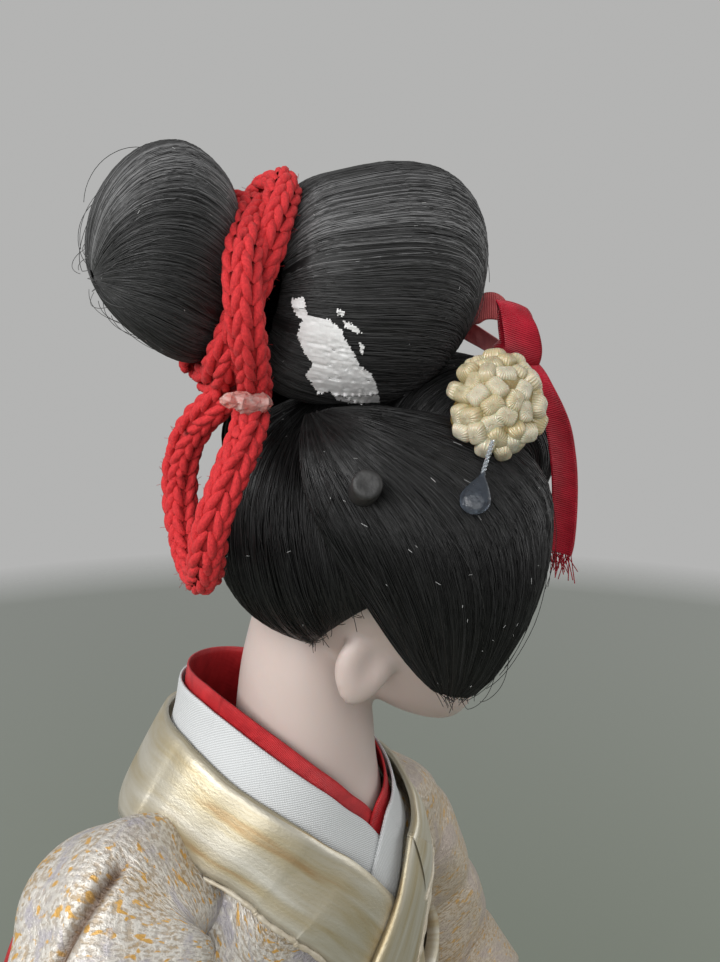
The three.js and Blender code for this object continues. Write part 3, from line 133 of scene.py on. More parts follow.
# Back lobe rows: as those of the front lobe, from the waist backwards
BACK_LOBE = [
    (29.2, 37.4, 28.8, 22.6, 6.8), (29.6, 41.4, 29.2, 19.9, 8.8), (32.4, 44.1, 31.4, 19.4, 10.6),
    (36.6, 45.4, 34.4, 20.1, 11.7), (40.6, 43.8, 37, 21.3, 11.6), (43.2, 40.8, 39, 22.4, 10.7),
    (44.8, 37, 40.7, 23.6, 9.2), (45.2, 33.4, 42, 24.8, 7), (44.9, 30, 43, 26, 4),
    (44.2, 28, 43.7, 27, 0.8),
]
# Back hair, an egg round the skull: degrees from its crown and to either side
BACK_AXIS = (0, 0.42, 0.91)
BACK_WAY = (0, 0.91, -0.42)
BACK_MIDDLE = np.array((0, 1, 2.4))
BACK_HALF = np.array((23.3, 21.2, 18))
BACK_CROWN = 6.0
BACK_LOWEST = 146
BACK_EAR_RISE = 46
BACK_SPAN = 128
# Front puff, a roll over the brow: middle in y and z, half sizes, degrees round it
PUFF_MIDDLE = (-9, 15.4)
PUFF_HALF = (17.6, 13.8, 12.6)
PUFF_ARC = (-32, 165)
PUFF_ROWS = 48
PUFF_COLS = 110
HAIR_ROWS = 64
HAIR_COLS = 150
# Hair on each form: strands, seed of the grooves, their depth, stray hairs
FRONT_LOBE_HAIR = (2600, 21, 0.1, 16)
BACK_LOBE_HAIR = (2200, 31, 0.08, 24)
BACK_HAIR = (1200, 41, 0.1, 14)
PUFF_HAIR = (600, 51, 0.1, 6)
WING_HAIR = (1300, 61, 0.12, 20)
# Strands that stick out of the lower edge
BACK_RAGGED = 110
WING_RAGGED = 40
GROOVE_WIDTH = 2
STRAND_STEPS = 22
STRAND_ENDS = 0.04
STRAND_WANDER = 0.008
STRAND_LIFT = 0.22
STRAND_RADIUS = 0.07
SHINY_RADIUS = 0.055
FLY_HEIGHT = (0.5, 2.0)
FLY_LENGTH = 0.35
FRINGE_REACH = (0.5, 2.2)
LINT_COUNT = 36
LINT_SPAN = (0.1, 0.95)
# Wing rows: rear edge y and z, front edge y and z, x of the edges, bulge outwards
WING = [
    (17.5, 16.5, 14, 18, 11, 1), (18.6, 14, 8.4, 19.6, 14, 4), (18.6, 10.6, 0.4, 20, 16.5, 7.5),
    (17.6, 7.2, -8.2, 18.8, 18.5, 10), (15.4, 3.8, -13.6, 14.6, 20, 12),
    (12.2, 0, -15.2, 7.8, 21, 12.5), (8.4, -4, -14.2, 0.6, 22.5, 10.5),
    (4.8, -7.8, -11.8, -5.4, 24, 7.4), (1.8, -10.6, -9.2, -9.6, 25.6, 4.2),
    (-0.4, -12.2, -6.2, -12.2, 27, 1.4),
]
WING_ROWS = 60
WING_COLS = 110
PEG_WAY = (-0.86, 0.36, 0.36)
PEG_END = np.array((-27.8, 15.0, 11.9))
# Peg rows: distance from its end, radius
PEG_ROWS = np.array([
    (-7, 0.02), (-7, 1.75), (-1, 1.8), (-0.35, 1.75), (-0.1, 1.6), (0, 1.2), (-0.15, 0.7), (-0.2, 0.02),
])
CORD = 4.5
WALES = 4
STITCH = 2.3
KNIT_SPIN = 0.05
KNIT_SIDE = (1, 0, 0.3)
KNIT_CORE = 0.31 * CORD
YARN = 0.128 * CORD
KNIT_REACH = CORD / 2 - 0.8 * YARN
YARN_TAPER = YARN * np.array([0.5, 0.85, 1.0, 1.05, 1.0, 0.85, 0.5])
# Winding round the waist of the topknot: two turns that cross on the right side
WIND_ROUTE = [
    (0, 27.2, 18.0), (-4, 27, 18.7), (-7.2, 28, 20.6), (-9.4, 27.9, 24.8), (-9.8, 27.2, 29.9),
    (-8.5, 25.9, 36.2), (-5.5, 24.5, 40.7), (-2.5, 23.5, 43.2), (1, 23.4, 43.4), (4.6, 23.9, 41.6),
    (7.6, 24.3, 38), (9.4, 24.4, 34), (9.7, 24.3, 29.6), (8.9, 24.1, 25), (6.6, 23.4, 20.6),
    (3, 22.6, 17.6), (-0.6, 22, 16.4), (-4, 22.1, 16.5), (-7.4, 23.3, 18), (-10.6, 25.3, 21.2),
    (-12.8, 27.6, 25.2), (-12.9, 29.1, 29.6), (-10.8, 29.4, 33.8), (-6.8, 28.2, 37.2),
    (-3.4, 26.8, 39.2), (0, 26.8, 39.8), (3.4, 27.6, 39.4), (6.6, 28.4, 37.6), (9, 28.7, 34),
    (9.6, 28.7, 29.6), (8.8, 28.6, 25.2), (6.6, 28.3, 21.4), (3.6, 27.9, 19),
]
LOOP_ROUTE = [
    (-6.4, 22.9, 14.7), (-9.6, 23.7, 14.4), (-12.6, 25.1, 11.4), (-14.6, 26.7, 7.2), (-15.1, 27.5, 2.8),
    (-14, 27.1, -1.6), (-11.2, 25.9, -5), (-7, 25.3, -6.5), (-2.8, 25.7, -5.1), (0.2, 26.7, -1.5),
    (1.3, 27.7, 3), (0.7, 28.3, 7.8), (-1, 27.9, 11.6), (-2.8, 26.9, 14.2), (-4.6, 25.9, 16.8),
]
# Glue beads: middle, half sizes
GLUE_BEADS = [
    ((-11, 25.4, 16.6), (1.6, 2.1, 1.2)), ((-10.4, 23.4, 17), (1.5, 1.9, 1.2)),
    ((-11.4, 27.2, 16.6), (1.0, 1.3, 0.9)), ((-10.8, 24.5, 15.8), (1.2, 1.5, 1.0)),
]
PATCH_EYE = (-132.0, 65.7, 28.7)
PATCH_CELL = 0.18
PATCH_Y = (7, 24.5)
PATCH_Z = (17, 32)
PATCH_X = -12.5
PATCH_FRAY = 0.07
PATCH_LIFT = 0.3
PATCHES = [
    [(23, 29.9), (21.4, 30.5), (20.4, 28.5), (17.5, 28.5), (15.6, 27.7), (15.2, 27), (13, 24.7),
    (12.2, 23.9),
     (10.4, 23.2), (8.8, 20.8), (8.3, 19.6), (12, 18.9), (14.3, 19.3), (15.4, 20), (16.9, 19.5), (19, 21.4),
     (18.4, 23), (19.5, 23.7), (21.2, 25.8), (21, 27.8), (22.2, 28.5)],
    [(17, 30), (15.8, 30), (15.8, 29.5), (16.7, 29.4)],
    [(16.1, 29), (14.5, 28.7), (13.1, 28.1), (13.4, 27.6), (15.2, 28.1)],
    [(13.1, 26.7), (12.3, 26.4), (12.2, 25.4), (12.6, 25.5)],
]
FLOWER_AT = np.array((-23.6, -1.6, 23.6))
FLOWER_AXIS = np.array((-0.78, 0.28, 0.56))
FLOWER_DOME = 4.2
FLOWER_HALF = (4.4, 5.4, 3.4)
FLOWER_RIM = 4.25
PETAL_COUNT = 42
PETAL_SPREAD = 1.16
PETAL_TURN = math.pi * (3 - math.sqrt(5))
PETAL_HEIGHT = (2.2, 3.0)
PETAL_WIDE = 1.42
PETAL_THICK = 1.14
DROP_SPIN = math.radians(-24)
DROP_OUT = 2.6
DROP_RIM = 7.75
DROP_FACE = (-0.7, 0.7, 0.5)
DROP_LEAN = np.array((0, 0.17, 0))
DROP_BELOW = 3.3
DROP_LENGTH = 5.2
DROP_WIDE = 1.75
DROP_THICK = 0.75
# Drop rows: share of its length, share of its width
DROP_ROWS = [
    (0, 0.1), (0.12, 0.24), (0.3, 0.58), (0.55, 0.94), (0.7, 1), (0.86, 0.82), (0.96, 0.46), (1, 0.04),
]
WIRE_TURNS = 4
WIRE_LENGTH = 4.2
WIRE_ABOVE = 0.8
WIRE_COIL = 0.14
WIRE_RADIUS = 0.15
RIBBON_WIDTH = 5.4
RIBBON_THICK = 0.35
RIBBON_CURL = 0.12
BOW_KNOT = np.array((-8.4, -10.6, 29.0))
BOW_KNOT_HALF = (2.5, 2.4, 2.6)
BOW_ACROSS = (-0.44, -0.89, -0.1)
NEAR_BOW = [
    (-10.6, -10.8, 28.2), (-13.4, -9.9, 29), (-14.8, -8.6, 31.2), (-14.6, -7.2, 34), (-13.2, -6.4, 35.7),
    (-11.6, -8.2, 35), (-10.4, -9.9, 32.4), (-9.8, -10.9, 30.2), (-9.4, -11.4, 28.8),
]
FAR_BOW = [
    (-8.4, -10.6, 30.4), (-8.6, -10.2, 32.8), (-8, -9.2, 34.6), (-7, -8.2, 35.3), (-6, -7, 35.1),
    (-4.6, -6.4, 34.2), (-0.6, -6.6, 33.8), (2.6, -7.4, 33.2), (3, -8.8, 32), (-1, -10.4, 30.8),
    (-7.4, -11.2, 29.4),
]
FAR_ACROSS = (0.22, 0.14, 0.96)
TAIL_ACROSS = (-0.75, -0.66, 0)
TAIL_ROUTE = [
    (-9.5, -11, 29.2), (-13.4, -10.8, 28.8), (-16.6, -11.6, 26.6), (-18, -14.2, 22.8), (-18.2, -16.4, 18.6),
    (-18.2, -18, 14.6), (-18.2, -19.2, 10.4), (-18, -20, 7), (-17.8, -20.2, 5.2),
]
TAIL_WIDTH = 0.66 * RIBBON_WIDTH
TAIL_FRAYS = 40
RIGHT_ARM = [
    (-14, 7.6, 252.6, 6.4), (-20.5, 9, 253.6, 10), (-29.4, 9.8, 253, 13.3), (-36.4, 3.7, 242, 12.5),
    (-40.2, -7.0, 225, 12.0), (-42.4, -16, 212, 12),
]
RIGHT_WRIST = [(-40, -25, 207.5), (-35.5, -32.5, 205)]
LEFT_ARM = [
    (14.5, 5.4, 250, 8.4), (21.5, 5.6, 245.6, 11.2), (29.4, 6.6, 239, 12.6), (35, 5, 226, 12.4),
    (38.6, 0.6, 211, 11.6), (40, -8, 202, 11),
]
LEFT_WRIST = [(38.5, -18, 198.5), (33.5, -27, 196.5)]
# The sharp pleat pressed into the right sleeve, as a list of routes
RIGHT_PLEATS = [
    [(-31, 4.9, 266.8), (-34.4, 5, 265.1), (-37.6, 5, 263), (-40.3, 5.4, 260.7), (-42.8, 5.8, 258),
     (-44.8, 6, 254)],
]
PLEAT_REACH = 4
PLEAT_WIDTH = 0.9
PLEAT_DEPTH = 1.7
SLEEVE_CREASE = 1.5
# Deep folds across a sleeve: share of its length
SLEEVE_FOLDS = (0.3, 0.55, 0.78)
SLEEVE_FOLD_DEPTH = 0.9
# Rows of a sleeve, counted from its mouth, to which the cloth is turned in
TURN_IN = 19
OBI_BOTTOM = 179.0
OBI_TOP = 228.0
OBI_OUT = 3.3
OBI_CORD_Z = 203.0
OBI_CORD_OUT = OBI_OUT + 2.0
OBI_CORD_RADIUS = 1.7
DRUM_Z = 205.0
DRUM_WIDE = 23
DRUM_HIGH = 24
DRUM_DEEP = 30
DRUM_PUFF = 1.12
# Drum rows: share of its depth, share of its half sizes
DRUM_ROWS = [
    (0, 0.88), (0.1, 0.98), (0.5, 1), (0.85, 0.97), (0.97, 0.88), (1, 0.7), (1, 0.35), (0.985, 0.02),
]
PAD_BEHIND = 8.5
PAD_ABOVE = 7.5
# Half of the pad: x, y and z from its place on the drum, radius
PAD_HALF = np.array([(26, -6, -8, 3.3), (21, -2, -1.5, 4.7), (11.5, 2, 0, 5.5), (0, 3, 0.4, 5.7)])
TAIL_WIDE = 19
TAIL_THICK = 1.6
TAIL_DROP = 46
SKIRT_TOP = 186.0
SKIRT_EASE = 60
SKIRT_THICK = 1.2
PANEL_SPAN = (152, 268)
PANEL_OUT = (1.6, 0.7)
FOLD_TOP = 150
FOLD_DEPTH = 1.7
FOLD_COUNT = 9
HEM_LOW = 5.4
HEM_RISE = 11
HEM_RADIUS = 2.3
HEM_GAP = 0.3
CORE_SPAN = (24, 252)
CORE_OUT = -2.9
BODICE_TOP = 264
BODICE_DIP = 12
BAG_DROP = 92.0
BAG_WIDE = 14
BAG_THICK = 6.5
# Bag rows: share of its drop, share of its width, share of its thickness
BAG_ROWS = [
    (0, 0.9, 0.95), (0.15, 1.05, 0.8), (0.5, 1.14, 0.73), (0.94, 1.2, 0.7), (1, 1.12, 0.45), (1, 0.6, 0.1),
]
ARM_RADIUS = 3.4
LINING_GAP = 2.3
LINING_THICK = 1.0
# Palm rows: share of the palm's length, share of its width, share of its thickness
PALM_ROWS = [(0, 0.62, 0.95), (0.12, 0.6, 0.9), (0.35, 0.95, 1), (0.55, 0.98, 0.8), (0.6, 0.8, 0.5)]
HAND_LENGTH = 19
PALM_WIDE = 4
PALM_THICK = 2.2
FINGER_REACH = (16.6, 18.6, 19, 17.6)
FINGER_FIRST = -2.9
FINGER_STEP = 1.95
FINGER_RADIUS = 0.98
FOOT_X = 11.5
SOLE_HALF = (7.5, 22)
SOLE_Y = -24
# Sole rows: height, share of its outline
SOLE_ROWS = np.array([(0.3, 0.9), (0.5, 0.98), (1.2, 1), (3.0, 1), (3.6, 0.97), (3.9, 0.9), (3.9, 0.02)])
SOCK_Y = -43
SOCK_Z = 4.2
SOCK_LENGTH = 38
SOCK_HALF = (6, 4.5)
# Sock rows: share of its length, share of its width, share of its height
SOCK_ROWS = [
    (0, 0.25, 0.2), (0.04, 0.6, 0.45), (0.12, 0.85, 0.62), (0.35, 1, 0.8), (0.6, 0.86, 1),
    (0.85, 0.8, 1.15), (0.97, 0.6, 1.0), (1, 0.3, 0.6),
]
STRAP_ROUTE = np.array([
    (-5.7, -22, 5.3), (-5.3, -24, 8.25), (-2.65, -27, 11.8), (0, -29, 12.2), (2.65, -27, 11.8),
    (5.3, -24, 8.25), (5.7, -22, 5.3),
])
STRAP_RADIUS = 1.1
BOARD_HALF = (65.0, 58.0)
BOARD_CORNER = 9.0
BOARD_ROUND = 2.5


# Small tools

def unit(v):
    v = np.asarray(v, float)
    return v / np.maximum(np.linalg.norm(v, axis=-1, keepdims=True), 1e-12)


def mix(a, b, share):
    return a + (b - a) * share


def ease(low, high, value):
    t = np.clip((value - low) / (high - low), 0, 1)
    return t * t * (3 - 2 * t)


def turn(count):
    return np.arange(count) * (2 * math.pi / count)


def head_axes():
    cz, sz = math.cos(HEAD_TURN), math.sin(HEAD_TURN)
    cx, sx = math.cos(HEAD_BOW), math.sin(HEAD_BOW)
    about_z = np.array(((cz, -sz, 0), (sz, cz, 0), (0, 0, 1)))
    about_x = np.array(((1, 0, 0), (0, cx, -sx), (0, sx, cx)))
    return about_z @ about_x


HEAD_AXES = head_axes()
DOWN_IN_HEAD = -UP @ HEAD_AXES


def on_head(points):
    return HEAD_AT + np.asarray(points, float) @ HEAD_AXES.T


def on_deck(points):
    return np.asarray(points, float) + np.array((0, 0, DECK))


def spline(rows, count):
    rows = np.asarray(rows, float)
    last = len(rows) - 1
    t = np.linspace(0, last, count)
    i = np.clip(t.astype(int), 0, last - 1)
    f = (t - i)[:, None]
    before, here = rows[np.maximum(i - 1, 0)], rows[i]
    after, beyond = rows[i + 1], rows[np.minimum(i + 2, last)]
    cubic = 3 * here - before - 3 * after + beyond
    square = 2 * before - 5 * here + 4 * after - beyond
    return 0.5 * (2 * here + (after - before) * f + square * f ** 2 + cubic * f ** 3)


def travelled(path):
    return np.concatenate([[0], np.cumsum(np.linalg.norm(np.diff(path, axis=0), axis=1))])


def read_at(spots, gone, rows):
    return np.stack([np.interp(spots, gone, row) for row in rows.T], 1)


def even(path, step):
    fine = spline(path, 30 * len(path))
    gone = travelled(fine)
    count = max(3, int(round(gone[-1] / step)) + 1)
    return read_at(np.linspace(0, gone[-1], count), gone, fine)


def frames(path, start=(0, 0, 1)):
    along = unit(np.gradient(path, axis=0))
    side = np.empty_like(path)
    last = np.asarray(start, float)
    for i, way in enumerate(along):
        last = unit(last - way * last.dot(way))
        side[i] = last
    return along, side, np.cross(along, side)


def spoke(angle, side, up):
    return np.cos(angle) * side + np.sin(angle) * up


def rings(path, radius, sides, start=(0, 0, 1)):
    _, side, up = frames(path, start)
    size = np.broadcast_to(np.asarray(radius, float), (len(path),))[:, None, None]
    return path[:, None] + size * spoke(turn(sides)[None, :, None], side[:, None], up[:, None])


def ball(centre, half, rows=24, cols=36):
    v = np.linspace(1e-3, math.pi - 1e-3, rows)[:, None]
    u = turn(cols)[None]
    spots = np.stack([np.sin(v) * np.cos(u), np.sin(v) * np.sin(u), np.cos(v) + 0 * u], -1)
    return np.asarray(centre, float) + spots * np.asarray(half, float)


def closed(grid):
    return np.concatenate([grid, grid[:, :1]], 1)


def corners(grid):
    parts = [grid[:-1, :-1], grid[:-1, 1:], grid[1:, 1:], grid[1:, :-1]]
    return np.stack(parts, 2).reshape((-1, 4) + grid.shape[2:])


def normals(grid, wrap):
    wide = np.concatenate([grid[:, -1:], grid, grid[:, :1]], 1) if wrap else grid
    across = np.gradient(wide, axis=1)
    across = across[:, 1:-1] if wrap else across
    out = unit(np.cross(across, np.gradient(grid, axis=0)))
    middle = grid.mean(1, keepdims=True) if wrap else grid.mean((0, 1))
    sign = np.sign(np.sum(out * (grid - middle)))
    return out * (sign if sign else 1.0), sign


def sample(grid, u, v):
    rows, cols = grid.shape[:2]
    x = np.clip(u, 0, 1) * (cols - 1)
    y = np.clip(v, 0, 1) * (rows - 1)
    i = np.minimum(y.astype(int), rows - 2)
    j = np.minimum(x.astype(int), cols - 2)
    fx, fy = (x - j)[..., None], (y - i)[..., None]
    low = grid[i, j] * (1 - fx) + grid[i, j + 1] * fx
    high = grid[i + 1, j] * (1 - fx) + grid[i + 1, j + 1] * fx
    return low * (1 - fy) + high * fy


def ripple(count, seed):
    local = np.random.default_rng(seed)
    margin = 2 * GROOVE_WIDTH
    noise = local.normal(size=count + 2 * margin)
    kernel = np.hanning(margin + 1)[1:-1]
    return np.convolve(noise, kernel / np.sqrt((kernel ** 2).sum()), "same")[margin:margin + count]


def mirrored(spot, side):
    return np.array((side * spot[0], *spot[1:]))


def boxy(value, power):
    return np.sign(value) * np.abs(value) ** power


def linked(name, data):
    obj = bpy.data.objects.new(name, data)
    bpy.context.scene.collection.objects.link(obj)
    return obj


def placed(name, mesh, body, replaces):
    obj = linked(name, mesh)
    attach(obj, body)
    if replaces:
        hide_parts(*replaces)
    return obj


# A mesh under construction: grids and strands with their own look slots and tones

class Shape:
    def __init__(self):
        self.points, self.faces, self.uv, self.slots, self.tones = [], [], [], [], []
        self.total = 0

    def store(self, points, faces, uv, slot, tone):
        self.points.append(points)
        self.faces.append(faces + self.total)
        self.uv.append(uv)
        self.slots.append(np.full(len(faces), slot))
        self.tones.append(np.broadcast_to(np.asarray(tone, float), (len(points),)))
        self.total += len(points)

    def grid(self, points, wrap=False, slot=0, tone=0.0, keep=None, loop=False, caps=False):
        rows, cols = points.shape[:2]
        ids = np.arange(rows * cols).reshape(rows, cols)
        wide = closed(ids) if wrap else ids
        around = closed(points) if wrap else points
        if loop:
            wide = np.concatenate([wide, wide[:1]], 0)
            around = np.concatenate([around, around[:1]], 0)
        u = np.linalg.norm(np.diff(around, axis=1), axis=2).mean(0)
        v = np.linalg.norm(np.diff(around, axis=0), axis=2).mean(1)
        u = np.concatenate([[0], np.cumsum(u)])
        v = np.concatenate([[0], np.cumsum(v)])
        uv = np.stack(np.broadcast_arrays(u[None], v[:, None]), -1)
        spread = uv
        faces, uv = corners(wide), corners(uv)
        if caps:
            near = np.arange(cols // 2 - 1)
            order = np.stack([near, cols - 1 - near, cols - 2 - near, near + 1], 1)
            ends = [ids[0][order], ids[-1][order[:, ::-1]]]
            faces = np.concatenate([faces, *ends], 0)
            uv = np.concatenate([uv, spread[0][order], spread[-1][order[:, ::-1]]], 0)
        if normals(points, wrap)[1] < 0:
            faces, uv = faces[:, ::-1], uv[:, ::-1]
        if keep is not None:
            faces, uv = faces[keep.ravel()], uv[keep.ravel()]
        self.store(points.reshape(-1, 3), faces, uv, slot, np.ravel(tone) if np.ndim(tone) else tone)

    def tubes(self, lines, radius, sides=3, slot=0, tone=0.0):
        count, steps = lines.shape[:2]
        along = unit(np.gradient(lines, axis=1))
        side = unit(np.cross(along, unit(rng.normal(size=(count, 1, 3)))))
        up = np.cross(along, side)
        size = np.broadcast_to(np.asarray(radius, float), (count, steps))[:, :, None, None]
        angle = turn(sides)[None, None, :, None]
        ring = lines[:, :, None] + size * spoke(angle, side[:, :, None], up[:, :, None])
        ids = np.arange(count * steps * sides).reshape(count, steps, sides)
        nxt = np.roll(ids, -1, 2)
        faces = np.stack([ids[:, :-1], nxt[:, :-1], nxt[:, 1:], ids[:, 1:]], -1).reshape(-1, 4)
        length = np.linalg.norm(np.diff(lines, axis=1), axis=2).cumsum(1)
        length = np.concatenate([np.zeros((count, 1)), length], 1)
        start, end = length[:, :-1, None], length[:, 1:, None]
        near = np.broadcast_to(np.arange(sides) / sides, (count, steps - 1, sides))
        far = near + 1 / sides
        low, high = np.broadcast_to(start, near.shape), np.broadcast_to(end, near.shape)
        uv = np.stack([np.stack([near, low], -1), np.stack([far, low], -1), np.stack([far, high], -1),
                       np.stack([near, high], -1)], -2).reshape(-1, 4, 2)
        shades = np.repeat(np.broadcast_to(np.asarray(tone, float), (count,)), steps * sides)
        self.store(ring.reshape(-1, 3), faces, uv, slot, shades)

    def build(self, name, looks, body="body", replaces=(), slot=None, smooth=True):
        points = np.concatenate(self.points) * MM
        faces = np.concatenate(self.faces)
        mesh = bpy.data.meshes.new(name)
        mesh.from_pydata(points.tolist(), [], faces.tolist())
        layer = mesh.uv_layers.new(name="uv")
        layer.data.foreach_set("uv", np.concatenate(self.uv).astype(np.float32).ravel())
        shade = mesh.attributes.new("tone", "FLOAT", "POINT")
        shade.data.foreach_set("value", np.concatenate(self.tones).astype(np.float32))
        for look in looks:
            mesh.materials.append(look)
        mesh.polygons.foreach_set("material_index", np.concatenate(self.slots).astype(np.int32))
        mesh.polygons.foreach_set("use_smooth", np.full(len(faces), smooth))
        mesh.update()
        return placed(name, mesh, body, replaces)


def made(name, look, points, node, slot, body="body", **how):
    shape = Shape()
    shape.grid(points, True, **how)
    return shape.build(name, [look], body, [node], slot)


# Looks: one node material each

class Look:
    def __init__(self, name, colour, roughness, **sockets):
        self.mat = bpy.data.materials.new(name)
        self.mat.use_nodes = True
        self.tree = self.mat.node_tree
        self.shader = self.tree.nodes["Principled BSDF"]
        self.put(self.shader, "Base Color", (*colour, 1))
        self.put(self.shader, "Roughness", roughness)
        for key, value in sockets.items():
            self.put(self.shader, key.replace("_", " "), value)

    def put(self, node, key, value):
        if isinstance(value, bpy.types.NodeSocket):
            self.tree.links.new(value, node.inputs[key])
        else:
            node.inputs[key].default_value = value

    def add(self, kind, inputs, **props):
        node = self.tree.nodes.new("ShaderNode" + kind)
        for key, value in props.items():
            setattr(node, key, value)
        for key, value in inputs.items():
            self.put(node, key, value)
        return node

    def uv(self, scale=(1, 1, 1), angle=0.0):
        spot = self.add("TexCoord", {}).outputs["UV"]
        turned = {"Vector": spot, "Scale": scale, "Rotation": (0, 0, angle)}
        return self.add("Mapping", turned).outputs["Vector"]

    def space(self, scale=1.0):
        spot = self.add("TexCoord", {}).outputs["Object"]
        size = scale / MM
        return self.add("Mapping", {"Vector": spot, "Scale": (size, size, size)}).outputs["Vector"]

    def noise(self, vector, detail=2.0, rough=0.5, twist=0.0):
        given = {"Vector": vector, "Scale": 1.0, "Detail": detail, "Roughness": rough, "Distortion": twist}
        return self.add("TexNoise", given).outputs[0]

    def wave(self, vector, scale, twist=0.0, direction="X", detail=2.0):
        given = {"Vector": vector, "Scale": scale, "Distortion": twist, "Detail": detail}
        return self.add("TexWave", given, bands_direction=direction).outputs["Fac"]

    def cells(self, vector):
        return self.add("TexVoronoi", {"Vector": vector, "Scale": 1.0}).outputs["Distance"]

    def tone(self):
        return self.add("Attribute", {}, attribute_name="tone").outputs["Fac"]

    def ramp(self, value, stops):
        node = self.add("ValToRGB", {"Fac": value})
        bar = node.color_ramp.elements
        while len(bar) < len(stops):
            bar.new(0.5)
        for element, (place, colour) in zip(bar, stops):
            element.position = place
            element.color = (*colour, 1)
        return node.outputs["Color"]

    def step(self, value, low, high):
        return self.ramp(value, [(low, grey(0.0)), (high, grey(1.0))])

    def paint(self, value, stops):
        self.put(self.shader, "Base Color", self.ramp(value, stops))

    def blend(self, share, a, b, way="MIX"):
        node = self.add("Mix", {}, data_type="RGBA", blend_type=way)
        self.put(node, 0, share)
        self.put(node, 6, a)
        self.put(node, 7, b)
        return node.outputs[2]

    def rough(self, value, low, high):
        span = {"Value": value, "To Min": low, "To Max": high}
        self.put(self.shader, "Roughness", self.add("MapRange", span).outputs["Result"])

    def bump(self, height, depth, strength=1.0, under=None):
        given = {"Height": height, "Strength": strength, "Distance": depth * MM}
        if under is not None:
            given["Normal"] = under
        normal = self.add("Bump", given).outputs["Normal"]
        self.put(self.shader, "Normal", normal)
        return normal


def grey(value):
    return (value, value, value)


def hair_look(name, dark, light, rough):
    look = Look(name, grey(dark), rough, Specular_IOR_Level=0.3)
    streak = look.noise(look.uv((4, 0.06, 1)), 4.0, 0.6)
    look.paint(streak, [(0.35, grey(dark)), (0.75, grey(light))])
    look.rough(streak, rough - 0.08, rough + 0.12)
    look.bump(streak, 0.12)
    return look.mat


def strand_look(name, dark, light, rough):
    look = Look(name, grey(dark), rough, Specular_IOR_Level=0.3)
    look.paint(look.tone(), [(0.0, grey(dark)), (0.8, grey(mix(dark, light, 0.4))), (1.0, grey(light))])
    return look.mat


def knit_look():
    look = Look("knit_red", (0.75, 0.038, 0.032), 0.8, Sheen_Weight=0.1, Sheen_Roughness=0.4)
    look.put(look.shader, "Sheen Tint", (1, 0.45, 0.4, 1))
    fibre = look.noise(look.uv((9, 2.2, 1)), 4.0, 0.65)
    dark, red, pale = (0.42, 0.01, 0.015), (0.63, 0.022, 0.026), (0.74, 0.075, 0.066)
    look.paint(fibre, [(0.3, dark), (0.6, red), (0.85, pale)])
    look.bump(fibre, 0.22)
    return look.mat


def paper_look():
    look = Look("former_white", (0.72, 0.68, 0.62), 0.8)
    stain = look.noise(look.space(0.5), 4.0, 0.6)
    look.paint(stain, [(0.3, (0.78, 0.77, 0.76)), (0.55, (0.92, 0.92, 0.91)), (0.8, (0.95, 0.95, 0.94))])
    look.bump(stain, 0.12)
    return look.mat


def glue_look():
    look = Look("glue_clear", (0.9, 0.55, 0.48), 0.18, Transmission_Weight=0.55, IOR=1.47)
    blot = look.noise(look.space(0.9), 3.0)
    look.paint(blot, [(0.3, (0.78, 0.22, 0.18)), (0.7, (0.95, 0.74, 0.68))])
    look.bump(blot, 0.3)
    return look.mat


def petal_look():
    look = Look("petal_cream", (0.6, 0.54, 0.42), 0.22, Specular_IOR_Level=0.6, Subsurface_Weight=0.2)
    look.put(look.shader, "Subsurface Scale", 0.001)
    rib = look.wave(look.uv(), 1.1, 0.6, "X")
    # Tone ramp: painted shade at the roots of the loops and between them, lighter up their sides, to the
    # cream of the tips
    gap, side, tip = (0.26, 0.18, 0.06), (0.45, 0.375, 0.21), (0.58, 0.53, 0.4)
    look.paint(look.tone(), [(0.0, gap), (0.45, side), (1.0, tip)])
    look.bump(rib, 0.05)
    return look.mat


def drop_look():
    look = Look("frosted_glass", (0.2, 0.24, 0.32), 0.3, Transmission_Weight=0.85, IOR=1.38)
    # Near-white flecks at the cell centres are painted glints; the rest is the glass's own grey-blue tint
    painted_glint = look.cells(look.space(1.6))
    look.paint(painted_glint, [(0.0, (0.8, 0.8, 0.8)), (0.12, (0.1, 0.12, 0.155)), (0.6, (0.15, 0.18, 0.225))])
    look.bump(look.noise(look.space(0.9), 3.0), 0.25)
    return look.mat


def wire_look():
    look = Look("clear_wire", (0.6, 0.64, 0.68), 0.2, Transmission_Weight=0.75, IOR=1.4)
    look.rough(look.noise(look.space(1.2)), 0.12, 0.35)
    return look.mat


def satin_look(name, dark, bright, rough=0.36, rib=1.1):
    look = Look(name, bright, rough, Specular_IOR_Level=0.4)
    lines = look.wave(look.uv(), rib, 0.5, "Y")
    cloth = look.noise(look.uv((0.5, 0.5, 1)), 3.0)
    look.paint(cloth, [(0.3, dark), (0.7, bright)])
    look.bump(lines, 0.1)
    return look.mat


def weave_look(name, dark, bright, rough, size, depth):
    look = Look(name, bright, rough, Sheen_Weight=0.2)
    fine = look.uv((1, 1, 1), math.radians(45))
    warp = look.wave(fine, size, 0.3, "X")
    weft = look.wave(fine, size, 0.3, "Y")
    both = look.blend(0.5, warp, weft, "MULTIPLY")
    look.paint(both, [(0.05, dark), (0.6, bright)])
    look.bump(both, depth)
    return look.mat


def gold_look():
    look = Look("gold_cloth", (0.5, 0.43, 0.28), 0.42, Metallic=0.65)
    streak = look.noise(look.uv((0.28, 0.03, 1)), 4.0, 0.55, 0.3)
    grain = look.noise(look.uv((2.6, 1.4, 1)), 3.0, 0.7)
    brown, tan = (0.37, 0.24, 0.11), (0.45, 0.385, 0.25)
    gold, pale = (0.51, 0.47, 0.37), (0.63, 0.605, 0.53)
    look.paint(streak, [(0.3, brown), (0.4, tan), (0.52, gold), (0.68, pale)])
    look.rough(grain, 0.34, 0.56)
    look.bump(grain, 0.06, 1.0, look.bump(streak, 0.4, 0.3))
    return look.mat


